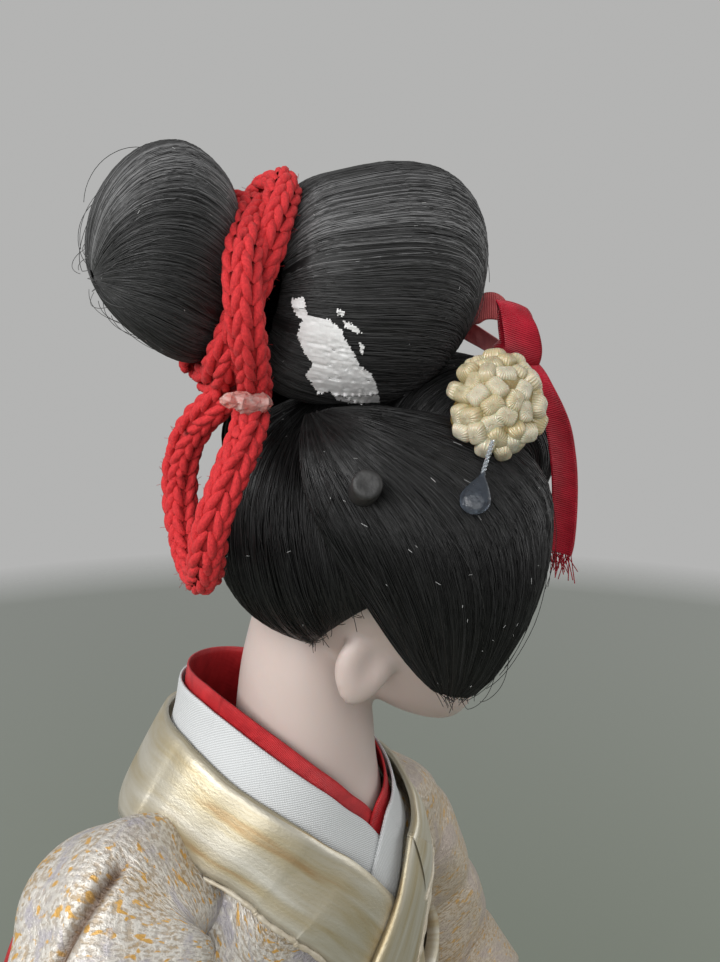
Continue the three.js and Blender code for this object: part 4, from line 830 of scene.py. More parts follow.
def brocade_look():
    look = Look("brocade", (0.5, 0.46, 0.4), 0.42, Metallic=0.25, Specular_IOR_Level=0.6)
    lavender, cream, brown = (0.48, 0.45, 0.48), (0.53, 0.48, 0.42), (0.45, 0.33, 0.19)
    raised_thread, gold_fleck = (0.76, 0.725, 0.66, 1), (0.7, 0.4, 0.1, 1)
    pleat_shade, far_side_shade = (0.09, 0.045, 0.02, 1), (0.34, 0.235, 0.115, 1)
    rows = look.wave(look.uv(), 0.6, 2.0, "Y", 3.0)
    lumps = look.noise(look.uv((1.1, 1.9, 1)), 3.0, 0.6)
    patch = look.noise(look.uv((0.13, 0.17, 1)), 4.0, 0.6, 0.6)
    spots = look.noise(look.uv((0.55, 1.1, 1), math.radians(7)), 2.0, 0.5, 0.3)
    thread = look.noise(look.uv((7.0, 1.6, 1)), 2.0, 0.6)
    ground = look.ramp(patch, [(0.4, lavender), (0.47, cream), (0.64, brown)])
    there = look.ramp(patch, [(0.4, grey(0.3)), (0.5, grey(1.0)), (0.66, grey(0.7))])
    woven = look.blend(0.82, rows, look.step(lumps, 0.36, 0.62))
    raised = look.blend(1.0, look.step(woven, 0.3, 0.65), there, "MULTIPLY")
    cloth = look.blend(raised, ground, raised_thread)
    around = look.step(patch, 0.42, 0.47)
    golden = look.blend(1.0, look.step(spots, 0.59, 0.64), around, "MULTIPLY")
    cloth = look.blend(golden, cloth, gold_fleck)
    cloth = look.blend(0.3, cloth, look.ramp(thread, [(0.3, grey(0.55)), (0.7, grey(1.0))]), "MULTIPLY")
    cloth = look.blend(look.tone(), cloth, pleat_shade)
    # Painted shade: towards the doll's left, from x 8 to 26 mm, the cloth is blended up to halfway into a
    # dark brown
    place = look.add("SeparateXYZ", {0: look.space()}).outputs["X"]
    far = look.add("MapRange", {"Value": place, "From Min": 8.0, "From Max": 26.0, "To Max": 0.5})
    look.put(look.shader, "Base Color", look.blend(far.outputs["Result"], cloth, far_side_shade))
    look.rough(woven, 0.52, 0.3)
    look.bump(thread, 0.07, 0.7, look.bump(woven, 0.16, 0.9))
    return look.mat


def skin_look():
    look = Look("skin", (0.52, 0.425, 0.385), 0.42, Subsurface_Weight=0.15)
    look.put(look.shader, "Subsurface Scale", 0.002)
    look.put(look.shader, "Subsurface Radius", (1.0, 0.35, 0.2))
    look.paint(look.tone(), [(0.0, (0.52, 0.425, 0.385)), (1.0, (0.54, 0.25, 0.23))])
    look.bump(look.noise(look.space(0.8), 3.0), 0.02)
    return look.mat


def plain_look(name, dark, bright, rough, scale=0.6, depth=0.05, **sockets):
    look = Look(name, bright, rough, **sockets)
    fleck = look.noise(look.space(scale), 4.0, 0.6)
    look.paint(fleck, [(0.3, dark), (0.7, bright)])
    look.bump(fleck, depth)
    return look.mat


HAIR = hair_look("hair_smooth", 0.001, 0.004, 0.4)
STRAND = strand_look("hair_strand", 0.001, 0.018, 0.34)
# Lighter copies of the hair looks for the topknot lobes: painted sheen, so the lobes read brighter than the
# rest of the hair
TOP_HAIR_SHEEN = hair_look("topknot_smooth_sheen", 0.005, 0.016, 0.42)
TOP_STRAND_SHEEN = strand_look("topknot_strand_sheen", 0.006, 0.2, 0.42)
KNIT = knit_look()
PAPER = paper_look()
GLUE = glue_look()
PETAL = petal_look()
GLASS = drop_look()
WIRE = wire_look()
RIBBON = satin_look("ribbon_red", (0.3, 0.005, 0.016), (0.47, 0.011, 0.03))
# A paler copy of the ribbon look for the far loop of the bow: painted light on the same ribbon
RIBBON_FAR_PALE = satin_look("ribbon_pale", (0.42, 0.06, 0.065), (0.6, 0.13, 0.13))
RED_SILK = satin_look("red_silk", (0.4, 0.01, 0.015), (0.6, 0.025, 0.03), 0.5, 1.6)
WHITE_SILK = weave_look("white_silk", (0.48, 0.49, 0.49), (0.62, 0.64, 0.645), 0.65, 1.0, 0.06)
GOLD = gold_look()
BROCADE = brocade_look()
SKIN = skin_look()
LINT = plain_look("lint", (0.3, 0.3, 0.3), (0.55, 0.55, 0.54), 0.7, 1.0, 0.02)
PIPING = plain_look("piping_cream", (0.4, 0.34, 0.24), (0.6, 0.55, 0.45), 0.45, 0.5, 0.2, Metallic=0.2)
PINK = plain_look("pink_silk", (0.72, 0.5, 0.48), (0.8, 0.74, 0.7), 0.5, 0.35, 0.3, Sheen_Weight=0.3)
LACQUER = plain_look("lacquer", (0.012, 0.008, 0.008), (0.02, 0.013, 0.012), 0.16, 0.05, 0.01,
                     Coat_Weight=0.6)
FELT = plain_look("felt", (0.05, 0.09, 0.06), (0.09, 0.14, 0.1), 0.95, 1.2, 0.2)
STRAW = plain_look("straw", (0.36, 0.25, 0.12), (0.55, 0.42, 0.22), 0.7, 1.0, 0.2)
COTTON = plain_look("cotton", (0.6, 0.58, 0.55), (0.76, 0.74, 0.71), 0.85, 1.4, 0.12)
WOOD = plain_look("wood", (0.3, 0.2, 0.11), (0.46, 0.33, 0.2), 0.6, 0.3, 0.08)
PEG = plain_look("peg_grey", (0.008, 0.008, 0.008), (0.03, 0.029, 0.028), 0.55, 0.9, 0.15)
INK = plain_look("ink_black", (0.01, 0.008, 0.008), (0.025, 0.02, 0.018), 0.4, 1.0, 0.01)
EYE_WHITE = plain_look("eye_white", (0.7, 0.68, 0.65), (0.78, 0.76, 0.74), 0.3, 1.0, 0.01)
LIP = plain_look("lip_red", (0.4, 0.02, 0.02), (0.52, 0.035, 0.03), 0.35, 1.2, 0.02)


# Camera

def place_camera():
    data = bpy.data.cameras.new("camera")
    data.sensor_fit = "VERTICAL"
    data.sensor_height = SENSOR
    data.lens = EYE_LENS
    data.clip_start = 0.005
    eye = linked("camera", data)
    eye.location = Vector(EYE_AT) * MM
    eye.rotation_euler = Vector(EYE_BACK).to_track_quat("Z", "Y").to_euler()
    bpy.context.scene.camera = eye


# Knitted cord: rows of V stitches round a core

def knit(shape, path):
    _, side, up = frames(path, KNIT_SIDE)
    shape.grid(rings(path, KNIT_CORE, 10, KNIT_SIDE), True, tone=0.2)
    gone = travelled(path)
    leg = np.linspace(0, 1, len(YARN_TAPER))
    step = 2 * math.pi / WALES
    lines = []
    for row in np.arange(-STITCH, gone[-1], STITCH):
        for wale in range(WALES):
            for hand in (-1, 1):
                s = row + 0.5 * STITCH * (wale % 2) + leg * STITCH * 1.5 + rng.normal(0, 0.1)
                s = np.clip(s, 0, gone[-1])
                angle = step * wale + KNIT_SPIN * s + hand * (0.08 + 0.4 * leg ** 0.75) * step
                out = KNIT_REACH * (0.84 + 0.2 * np.sin(math.pi * leg ** 0.9)) + rng.normal(0, 0.04)
                spot, a, b = (read_at(s, gone, rows) for rows in (path, side, up))
                lines.append(spot + out[:, None] * spoke(angle[:, None], a, b))
    shape.tubes(np.array(lines), YARN_TAPER, 8, 0, 0.5)
    fuzz(shape, path, side, up)


def fuzz(shape, path, side, up):
    count = 5 * len(path) // 3
    pick = rng.integers(0, len(path), count)
    out = spoke(rng.uniform(0, 2 * math.pi, (count, 1)), side[pick], up[pick])
    t = np.linspace(0, 1, 6)[None, :, None]
    way = unit(out[:, None] * t + 0.9 * rng.normal(size=(count, 1, 3)) * (0.4 + t))
    start = path[pick][:, None] + out[:, None] * (KNIT_REACH + 0.45)
    shape.tubes(start + way * t * rng.uniform(0.3, 0.9, (count, 1, 1)), 0.03, 3, 0, 0.8)


def cord_pieces():
    route = on_head(even(LOOP_ROUTE, 0.5))
    loop = Shape()
    knit(loop, route)
    piece = loop.build("cord_loop_knit", [KNIT], "head", ["cord_loop"], "red_cord")
    wound = Shape()
    knit(wound, on_head(even(WIND_ROUTE, 0.5)))
    wound.build("topknot_cord_knit", [KNIT], "head", ["topknot_cord"], "red_cord")


def glue_piece():
    shape = Shape()
    for spot, half in GLUE_BEADS:
        lump = ball((0, 0, 0), half, 7, 9)
        shape.grid(on_head(np.array(spot) + lump * rng.uniform(0.8, 1.2, lump.shape[:2] + (1,))), True)
    shape.build("cord_glue_beads", [GLUE], "head", ["cord_glue"], "glue", smooth=False)


# Hair: a smooth streaked form with strands laid on it

def grooved(grid, out, depth, seed):
    rows, cols = grid.shape[:2]
    first, second = ripple(cols, seed)[None], ripple(cols, seed + 1)[None]
    return grid + out * (depth * mix(first, second, np.linspace(0, 1, rows)[:, None]))[..., None]


def lay_strands(shape, grid, out, count, u_span, painted_sheen_at):
    t = np.linspace(0, 1, STRAND_STEPS)[None]
    start = STRAND_ENDS * rng.random((count, 1))
    end = 1 - STRAND_ENDS * rng.random((count, 1))
    v = start + (end - start) * t
    u = rng.uniform(*u_span, (count, 1))
    sway = rng.normal(size=(count, 1)) * np.sin(math.pi * t)
    sway = sway + 0.5 * rng.normal(size=(count, 1)) * np.sin(2 * math.pi * t)
    u = u + STRAND_WANDER * sway
    height = rng.uniform(0.0, STRAND_LIFT, (count, 1)) * (0.4 + 0.6 * np.sin(math.pi * t))
    lines = sample(grid, u, v) + sample(out, u, v) * height[..., None]
    radius = SHINY_RADIUS if painted_sheen_at else STRAND_RADIUS
    taper = radius * np.clip(6 * np.minimum(t + 0.05, 1.05 - t), 0.35, 1)
    tone = rng.random(count)
    # Painted sheen: on the topknot lobes, strands near the given place round the lobe get lighter tones, a
    # highlight painted in as colour
    if painted_sheen_at:
        sheen_share = np.exp(-((u[:, STRAND_STEPS // 2] - painted_sheen_at) / 0.09) ** 2)
        tone = tone * mix(0.6, 1.0, sheen_share) + 0.3 * sheen_share
    shape.tubes(lines, taper, 3, 1, tone)


def fly_away(shape, grid, out, count, u_span):
    t = np.linspace(0, 1, 16)[None]
    start = rng.uniform(0, 0.8, (count, 1))
    v = start + FLY_LENGTH * rng.uniform(0.5, 1.2, (count, 1)) * t
    u = rng.uniform(*u_span, (count, 1)) + 0.05 * rng.normal(size=(count, 1)) * t
    rise = rng.uniform(*FLY_HEIGHT, (count, 1)) * np.sin(math.pi * t * rng.uniform(0.6, 1, (count, 1)))
    lines = sample(grid, u, v) + sample(out, u, v) * rise[..., None]
    shape.tubes(lines, 0.045, 3, 1, rng.random(count))


def fringe(shape, edge, way, count):
    pick = np.sort(rng.uniform(0, len(edge) - 1.001, count))
    low = pick.astype(int)
    part = (pick - low)[:, None]
    start = mix(edge[low], edge[low + 1], part)
    ahead = unit(mix(way[low], way[low + 1], part) + 0.25 * rng.normal(size=(count, 3)))
    t = np.linspace(-0.4, 1, 8)[None, :, None]
    bend = 0.3 * rng.normal(size=(count, 1, 3)) * t * t
    length = rng.uniform(*FRINGE_REACH, (count, 1, 1))
    shape.tubes(start[:, None] + (ahead[:, None] * t + bend) * length, 0.05, 3, 1, rng.random(count))


def lint(shape, grid, out, u_span):
    t = np.linspace(0, 1, 4)[None]
    size = (LINT_COUNT, 1)
    u = rng.uniform(*u_span, size) + 0.004 * rng.normal(size=size) * t
    v = rng.uniform(*LINT_SPAN, size) + 0.006 * rng.normal(size=size) * t
    lines = sample(grid, u, v) + 0.24 * sample(out, u, v)
    shape.tubes(lines, rng.uniform(0.02, 0.04, size), 4, 2, 0.5)


def hair_piece(name, grid, wrap, node, strands, seed, groove, flies, u_span=(0, 1), ragged=0,
               looks=(HAIR, STRAND), painted_sheen_at=None):
    grid = on_head(grid)
    out = normals(grid, wrap)[0]
    shape = Shape()
    fade = 1.0 if wrap else np.sin(np.linspace(0, math.pi, grid.shape[1])) ** 2
    shape.grid(grooved(grid, out, groove * fade, seed), wrap)
    around = closed(grid) if wrap else grid
    outward = closed(out) if wrap else out
    lay_strands(shape, around, outward, strands, u_span, painted_sheen_at)
    lint(shape, around, outward, u_span)
    fly_away(shape, around, outward, flies, u_span)
    if ragged:
        fringe(shape, around[-2], unit(around[-2] - around[-8]), ragged)
    shape.build(name, [*looks, LINT], "head", [node], "hair")


def lobe_grid(table):
    line = spline(table, HAIR_ROWS)
    angle = (turn(HAIR_COLS) - math.pi / 2)[None, :, None]
    top = np.stack([0 * line[:, 0], line[:, 0], line[:, 1]], 1)
    low = np.stack([0 * line[:, 0], line[:, 2], line[:, 3]], 1)
    middle, half = ((top + low) / 2)[:, None], ((top - low) / 2)[:, None]
    wide = line[:, 4][:, None, None] * np.array((1.0, 0, 0))
    return middle + spoke(angle, wide, half)


def back_hair_grid():
    round_ = np.radians(np.linspace(-BACK_SPAN, BACK_SPAN, HAIR_COLS))[None, :, None]
    lowest = BACK_LOWEST - BACK_EAR_RISE * ease(0.0, 1.3, np.abs(round_))
    fall = np.radians(mix(BACK_CROWN, lowest, np.linspace(0, 1, HAIR_ROWS)[:, None, None]))
    way = spoke(fall, unit(BACK_AXIS), spoke(round_, unit(BACK_WAY), np.array((1.0, 0, 0))))
    low = np.exp(-((np.degrees(fall) - 116) / 22) ** 2) * np.exp(-(round_ / 0.8) ** 2)
    return BACK_MIDDLE + way * (1 + 0.07 * low) * BACK_HALF


def front_puff_grid():
    angle = np.radians(np.linspace(*PUFF_ARC, PUFF_ROWS))[:, None]
    t = np.linspace(0.05, math.pi - 0.05, PUFF_COLS)[None]
    size = np.sin(t) ** 0.8
    wide, deep, high = PUFF_HALF
    y = PUFF_MIDDLE[0] - deep * size * np.cos(angle)
    z = PUFF_MIDDLE[1] + high * size * np.sin(angle)
    return np.stack(np.broadcast_arrays(-np.cos(t) * wide, y, z), -1)


def wing_grid(side):
    line = spline(WING, WING_ROWS)
    half = WING_COLS // 2
    rest = WING_COLS - half
    s = np.concatenate([np.linspace(0, 1, half), np.linspace(1, 0, rest + 2)[1:-1]])[None]
    outer = np.concatenate([np.ones(half), -0.12 * np.ones(rest)])[None]
    y = mix(line[:, :1], line[:, 2:3], s)
    z = mix(line[:, 1:2], line[:, 3:4], s)
    bulge = np.sin(math.pi * s) ** 0.75 * outer
    return np.stack([side * (line[:, 4:5] + line[:, 5:6] * bulge), y, z], -1)


def hair_pieces():
    top = (TOP_HAIR_SHEEN, TOP_STRAND_SHEEN)
    hair_piece("topknot_front_hair", lobe_grid(FRONT_LOBE), True, "topknot_front", *FRONT_LOBE_HAIR,
               looks=top, painted_sheen_at=0.64)
    hair_piece("topknot_back_hair", lobe_grid(BACK_LOBE), True, "topknot_back", *BACK_LOBE_HAIR,
               looks=top, painted_sheen_at=0.6)
    hair_piece("hair_back_strands", back_hair_grid(), False, "hair_back", *BACK_HAIR, ragged=BACK_RAGGED)
    hair_piece("hair_front_strands", front_puff_grid(), False, "hair_front", *PUFF_HAIR)
    for side, name in ((-1, "right"), (1, "left")):
        hair_piece("hair_wing_%s_strands" % name, wing_grid(side), True, "hair_wing_" + name, *WING_HAIR,
                   u_span=(0.0, 0.5), ragged=WING_RAGGED)


def peg_piece():
    way = unit(PEG_WAY)
    side = unit(np.cross(way, UP))
    path = PEG_END + np.outer(PEG_ROWS[:, 0], way)
    around = spoke(turn(28)[None, :, None], side, np.cross(way, side))
    points = on_head(path[:, None] + PEG_ROWS[:, 1, None, None] * around)
    made("hair_peg_stub", PEG, points, "hair_peg", "peg", "head")


def inside(points, outline):
    x, y = points[..., 0], points[..., 1]
    hit = np.zeros(x.shape, bool)
    for (x0, y0), (x1, y1) in zip(outline, outline[1:] + outline[:1]):
        crossing = (y0 > y) != (y1 > y)
        edge = (x1 - x0) * (y - y0) / ((y1 - y0) or 1e-9) + x0
        hit ^= crossing & (x < edge)
    return hit


def former_piece():
    lobe = bpy.data.objects["topknot_front_hair"]
    tree = BVHTree.FromObject(lobe, bpy.context.evaluated_depsgraph_get())
    ys, zs = np.meshgrid(np.arange(*PATCH_Y, PATCH_CELL), np.arange(*PATCH_Z, PATCH_CELL))
    corners = np.stack([ys, zs], -1)[:-1, :-1]
    cells = corners + PATCH_CELL / 2 + rng.normal(0, PATCH_FRAY, corners.shape)
    keep = np.any([inside(cells, outline) for outline in PATCHES], 0)
    eye = on_head(PATCH_EYE)
    spots = on_head(np.stack([0 * ys + PATCH_X, ys, zs], -1))
    held = np.empty_like(spots)
    for i in np.ndindex(spots.shape[:2]):
        way = unit(spots[i] - eye)
        hit = tree.ray_cast(Vector(eye * MM), Vector(way))[0]
        held[i] = (np.array(hit) / MM if hit else spots[i]) - way * PATCH_LIFT
    shape = Shape()
    shape.grid(held, keep=keep)
    shape.build("topknot_former_paper", [PAPER], "head", ["topknot_former"], "former")


# Flower of ribbon loops, its drop and the bow

def flower_piece():
    axis = unit(FLOWER_AXIS)
    across = unit(np.cross(axis, UP))
    high = np.cross(axis, across)
    shape = Shape()
    # The dome under the loops gets a low tone: painted dark as the shade between the petals
    shape.grid(on_head(FLOWER_AT + dome_ball(axis, across, high)), True, tone=0.1)
    for k in range(PETAL_COUNT):
        lean = math.acos(1 - PETAL_SPREAD * (k + 0.5) / PETAL_COUNT)
        rim = spoke(PETAL_TURN * k + rng.normal(0, 0.08), 0.82 * across, 1.04 * high)
        out = unit(spoke(lean, axis, rim) + 0.12 * rng.normal(size=3))
        rise = FLOWER_DOME * math.cos(lean) * 0.5 - 0.8
        root = FLOWER_AT + axis * rise + rim * (FLOWER_RIM * math.sin(lean))
        wide = unit(np.cross(out, rng.normal(size=3)))
        petal_loop(shape, root, out, wide, rng.uniform(*PETAL_HEIGHT), rng.uniform(0.5, 1))
    shape.build("flower_loops", [PETAL], "flower", ["flower_petals"], "cream")


def dome_ball(axis, across, high):
    spots = ball((0, 0, 0), FLOWER_HALF, 16, 28)
    return spots[..., :1] * across + spots[..., 1:2] * high + spots[..., 2:] * axis


def petal_loop(shape, root, out, wide, height, tone):
    thick = np.cross(out, wide)
    v = np.linspace(1e-3, math.pi - 1e-3, 20)[:, None]
    u = turn(26)[None]
    w = boxy(np.sin(v), 0.5) * boxy(np.cos(u), 0.42) * PETAL_WIDE
    s = boxy(np.sin(v), 0.6) * boxy(np.sin(u), 0.6) * PETAL_THICK
    rise = (0.5 + 0.5 * boxy(np.cos(v), 0.65)) * height + 0 * u
    rise = rise - 0.14 * s * s * rise / height
    points = root + rise[..., None] * out + s[..., None] * thick + w[..., None] * wide
    # Each loop's random tone falls towards its root: painted shade between the petals
    shape.grid(on_head(points), True, tone=tone * (0.1 + 0.9 * (rise / height) ** 0.7))


def drop_wire(top, hang):
    wire = Shape()
    t = np.linspace(0, 1, 60)
    side = unit(np.cross(hang, UP))
    for phase in (0, math.pi):
        turns = (2 * math.pi * WIRE_TURNS * t + phase)[:, None]
        coil = WIRE_COIL * spoke(turns, side, np.cross(hang, side))
        path = top + np.outer(t * WIRE_LENGTH - WIRE_ABOVE, hang) + coil
        wire.grid(rings(on_head(path), WIRE_RADIUS, 7, (1, 0, 0)), True)
    wire.build("drop_link_wire", [WIRE], "drop", ["drop_link"], "glass")


def drop_pieces():
    axis = unit(FLOWER_AXIS)
    rim = unit(DOWN_IN_HEAD - axis * DOWN_IN_HEAD.dot(axis))
    rim = spoke(DROP_SPIN, rim, np.cross(axis, rim))
    top = FLOWER_AT + axis * DROP_OUT + rim * DROP_RIM
    off = unit(DROP_FACE)
    down = DOWN_IN_HEAD + DROP_LEAN
    hang = unit(down - off * down.dot(off))
    drop_wire(top, hang)
    face = unit(off - hang * off.dot(hang))
    broad = np.cross(hang, face)
    rows = spline(DROP_ROWS, 36)
    angle = turn(40)
    edge = 1 + 0.03 * rng.normal(size=(len(rows), len(angle), 1))
    ring = spoke(angle[None, :, None], broad * DROP_WIDE * edge, face * DROP_THICK)
    points = top + hang * DROP_BELOW + rows[:, :1, None] * DROP_LENGTH * hang + rows[:, 1:, None] * ring
    made("glass_drop_frosted", GLASS, on_head(points), "glass_drop", "glass", "drop")


def strip(shape, path, across, width):
    across = unit(np.broadcast_to(across, path.shape))
    out = np.cross(unit(np.gradient(path, axis=0)), across)
    w = np.linspace(-1, 1, 13)[None, :, None]
    wave = RIBBON_CURL * np.sin(np.linspace(0, 9, len(path)))[:, None, None] * w
    half = np.broadcast_to(np.asarray(width, float) / 2, (len(path),))[:, None, None]
    face = path[:, None] + across[:, None] * w * half + out[:, None] * (wave + 0.25 * (w ** 2))
    back = face - out[:, None] * RIBBON_THICK
    shape.grid(on_head(np.concatenate([face, back[:, ::-1]], 1)), True)


def bow_loop(name, look, route, across, pinch, wide):
    path = spline(route, 70)
    share = np.linspace(0, 1, len(path))
    squeeze = 1 - pinch * np.exp(-((share - 0.5) / 0.16) ** 2)
    taper = 0.62 + 0.38 * np.sin(math.pi * share)
    loop = Shape()
    strip(loop, path, across, wide * RIBBON_WIDTH * squeeze * taper)
    loop.build("ribbon_loop_%s_satin" % name, [look], "head", ["ribbon_loop_" + name], "red_silk")


def ribbon_pieces():
    bow_loop("near", RIBBON, NEAR_BOW, BOW_ACROSS, 0.3, 1.1)
    bow_loop("far", RIBBON_FAR_PALE, FAR_BOW, FAR_ACROSS, 0.1, 0.74)
    knot = on_head(ball(BOW_KNOT, BOW_KNOT_HALF))
    made("ribbon_knot_satin", RIBBON, knot, "ribbon_knot", "red_silk", "head")
    tail = Shape()
    route = even(TAIL_ROUTE, 0.4)
    strip(tail, route, TAIL_ACROSS, TAIL_WIDTH)
    t = np.linspace(0, 1, 8)[None, :, None]
    start = route[-1] + np.outer(np.linspace(-1.7, 1.7, TAIL_FRAYS), unit(TAIL_ACROSS))
    droop = unit(DOWN_IN_HEAD + 0.3 * rng.normal(size=(TAIL_FRAYS, 3)))
    droop = droop * rng.uniform(1.2, 4, (TAIL_FRAYS, 1))
    tail.tubes(on_head(start[:, None] + t * droop[:, None]), 0.08, 3)
    tail.build("ribbon_tail_satin", [RIBBON], "head", ["ribbon_tail"], "red_silk")


# Head

def capped(rows, sizes):
    low, high = rows[:1].copy(), rows[-1:].copy()
    for end in (low, high):
        middle = end[0, sizes[1]:].mean() if len(sizes) > 1 else 0.0
        end[0, sizes[0]] = 0.02
        for k in sizes[1:]:
            end[0, k] = middle + 0.02 * (1 if k == sizes[-1] else -1)
    return np.concatenate([low, rows, high], 0)


def head_points():
    rows = capped(spline(HEAD_ROWS, 60), (1, 2, 3))
    angle = turn(64)[None]
    z, side, front, back = (rows[:, k][:, None] for k in range(4))
    middle = (front + back) / 2
    depth = (back - front) / 2
    x = side * np.cos(angle)
    y = middle + depth * np.sin(angle)
    return np.stack([x, y, np.broadcast_to(z, x.shape)], -1)


def remeshed(shape, name, look, size, rounds, body, replaces, slot):
    rough = shape.build(name + "_form", [look], body)
    grid = rough.modifiers.new("grid", "REMESH")
    grid.mode = "VOXEL"
    grid.voxel_size = size * MM
    soft = rough.modifiers.new("soft", "SMOOTH")
    soft.factor = 0.5
    soft.iterations = rounds
    depsgraph = bpy.context.evaluated_depsgraph_get()
    mesh = bpy.data.meshes.new_from_object(rough.evaluated_get(depsgraph))
    mesh.name = name
    mesh.materials.clear()
    mesh.materials.append(look)
    mesh.polygons.foreach_set("use_smooth", np.full(len(mesh.polygons), True))
    bpy.data.objects.remove(rough)
    return placed(name, mesh, body, replaces)


def blush(obj):
    mesh = obj.data
    points = np.empty(len(mesh.vertices) * 3)
    mesh.vertices.foreach_get("co", points)
    local = (points.reshape(-1, 3) / MM - HEAD_AT) @ HEAD_AXES
    tone = np.zeros(len(local))
    for side in (-1, 1):
        gap = (local - mirrored(BLUSH_AT, side)) / BLUSH_SIZE
        tone += BLUSH_TONE * np.exp(-np.sum(gap ** 2, 1))
    if "tone" in mesh.attributes:
        mesh.attributes.remove(mesh.attributes["tone"])
    shade = mesh.attributes.new("tone", "FLOAT", "POINT")
    shade.data.foreach_set("value", tone.astype(np.float32))


def ear_points(side):
    flat = ball((0, 0, 0), EAR_HALF, 24, 28)
    narrow = 1 - 0.25 * np.clip(-flat[..., 2:] / 5.6, 0, 1)
    dent = 0.9 * np.exp(-((flat[..., 1] / 1.8) ** 2 + ((flat[..., 2] - 0.6) / 2.4) ** 2))
    x = flat[..., 0] - side * dent * (flat[..., 0] * side > 0)
    shape = np.stack([x, flat[..., 1] * narrow[..., 0] - 0.12 * flat[..., 2], flat[..., 2]], -1)
    return mirrored(EAR_AT, side) + shape


def neck_points():
    rows = capped(spline(NECK_ROWS, 40), (1,))
    angle = turn(48)[None]
    x = NECK_AXIS[0] + rows[:, 1:] * np.cos(angle)
    y = NECK_AXIS[1] + rows[:, 1:] * np.sin(angle)
    return np.stack(np.broadcast_arrays(x, y, rows[:, :1]), -1)


def head_piece():
    shape = Shape()
    shape.grid(on_head(head_points()), True)
    for middle, half in FACE_LUMPS:
        shape.grid(on_head(ball(middle, half)), True)
    for side in (-1, 1):
        shape.grid(on_head(ear_points(side)), True)
        shape.grid(on_head(ball(mirrored(CHEEK_AT, side), CHEEK_HALF)), True)
    shape.grid(on_deck(neck_points()), True)
    obj = remeshed(shape, "head_skin", SKIN, *HEAD_CELLS, "head", ["head"], "skin")
    blush(obj)
    return obj


def stroke(shape, tree, slot, lift, widths, line):
    line = spline(line, STROKE_STEPS)
    share = np.linspace(0, 1, STROKE_STEPS)
    widths = np.interp(share, np.linspace(0, 1, len(widths)), widths)
    along = unit(np.gradient(line, axis=0))
    across = np.stack([-along[:, 1], along[:, 0]], 1)
    w = np.linspace(-0.5, 0.5, 7)[None, :, None]
    flat = line[:, None] + across[:, None] * w * widths[:, None, None]
    points = np.empty(flat.shape[:2] + (3,))
    way = HEAD_AXES @ np.array((0, 1.0, 0))
    for i in np.ndindex(flat.shape[:2]):
        x, z = flat[i]
        hit = tree.ray_cast(Vector(on_head((x, -40.0, z)) * MM), Vector(way))[0]
        points[i] = np.array(hit) / MM if hit else on_head((x, -20.0, z))
    shape.grid(points - way * lift, slot=slot)


def face_piece(head):
    tree = BVHTree.FromObject(head, bpy.context.evaluated_depsgraph_get())
    shape = Shape()
    for side in (-1, 1):
        for *how, line in EYE_STROKES:
            stroke(shape, tree, *how, [(side * x, z) for x, z in line])
    for how in LIP_STROKES:
        stroke(shape, tree, *how)
    shape.build("face_paint", [INK, EYE_WHITE, LIP], "head", (), "skin")


# Clothes

def row_table(rows):
    rows = np.asarray(rows, float)
    z = np.arange(rows[0, 0], rows[-1, 0] + 0.5, 0.5)
    kernel = np.hanning(15)
    kernel /= kernel.sum()
    columns = [z]
    for k in range(1, rows.shape[1]):
        raw = np.interp(z, rows[:, 0], rows[:, k])
        columns.append(np.convolve(np.pad(raw, 7, "edge"), kernel, "valid"))
    return np.stack(columns, 1)


BODY_TABLE = row_table(BODY_ROWS)
COLLAR_TABLE = row_table(COLLAR_ROWS)


def surface(table, angle, height, offset, read=None):
    read = height if read is None else read
    side, front, back, middle = (np.interp(read, table[:, 0], table[:, k]) for k in range(1, 5))
    depth = np.where(np.cos(angle) > 0, back, front)
    x = -(side + offset) * np.sin(angle)
    y = middle + (depth + offset) * np.cos(angle)
    return np.stack(np.broadcast_arrays(x, y, height), -1)


def fold(angle, height):
    fade = np.clip(1 - height / FOLD_TOP, 0, 1)
    return FOLD_DEPTH * fade * np.cos(FOLD_COUNT * angle + 1.2 * np.sin(angle))


def body_point(angle, height, offset):
    return surface(BODY_TABLE, angle, height, offset + fold(angle, height))


def collar_point(angle, height, offset):
    read = height - COLLAR_TILT * np.sin(angle)
    tuck = np.interp(read, *np.transpose(LEFT_TUCK)) * ease(0.0, 0.9, -np.sin(angle))
    return surface(COLLAR_TABLE, angle, height, offset - tuck, read)


def hem_height(angle):
    return HEM_LOW + HEM_RISE * np.maximum(0, -np.cos(angle)) ** 3


def solid_wall(shape, outer, inner):
    shape.grid(on_deck(np.concatenate([outer, inner[::-1]], 0)), True, loop=True)


def body_shell(name, look, angle, high, outer, inner, node, slot):
    shape = Shape()
    solid_wall(shape, body_point(angle, high, outer), body_point(angle, high, inner))
    return shape.build(name, [look], "body", [node], slot)


def skirt_levels(low, high, levels):
    return mix(low, high, np.linspace(0, 1, levels)[:, None] ** 1.4)


def wrinkle(angle, height, seed, size):
    local = np.random.default_rng(seed)
    total = 0
    for _ in range(7):
        a, b, c = local.integers(2, 7), local.uniform(0.02, 0.09), local.uniform(0, 6.3)
        total = total + np.sin(a * angle + b * height + c)
    return size * total / 7


def skirt_crease(angle, high):
    return wrinkle(angle, high, 5, 1.2) * np.clip((SKIRT_TOP - high) / SKIRT_EASE, 0, 1)


def skirt_piece():
    angle = turn(180)[None]
    high = skirt_levels(hem_height(angle), SKIRT_TOP, 90)
    out = skirt_crease(angle, high)
    skirt = body_shell("skirt_cloth", BROCADE, angle, high, out, out - SKIRT_THICK, "skirt", "brocade")


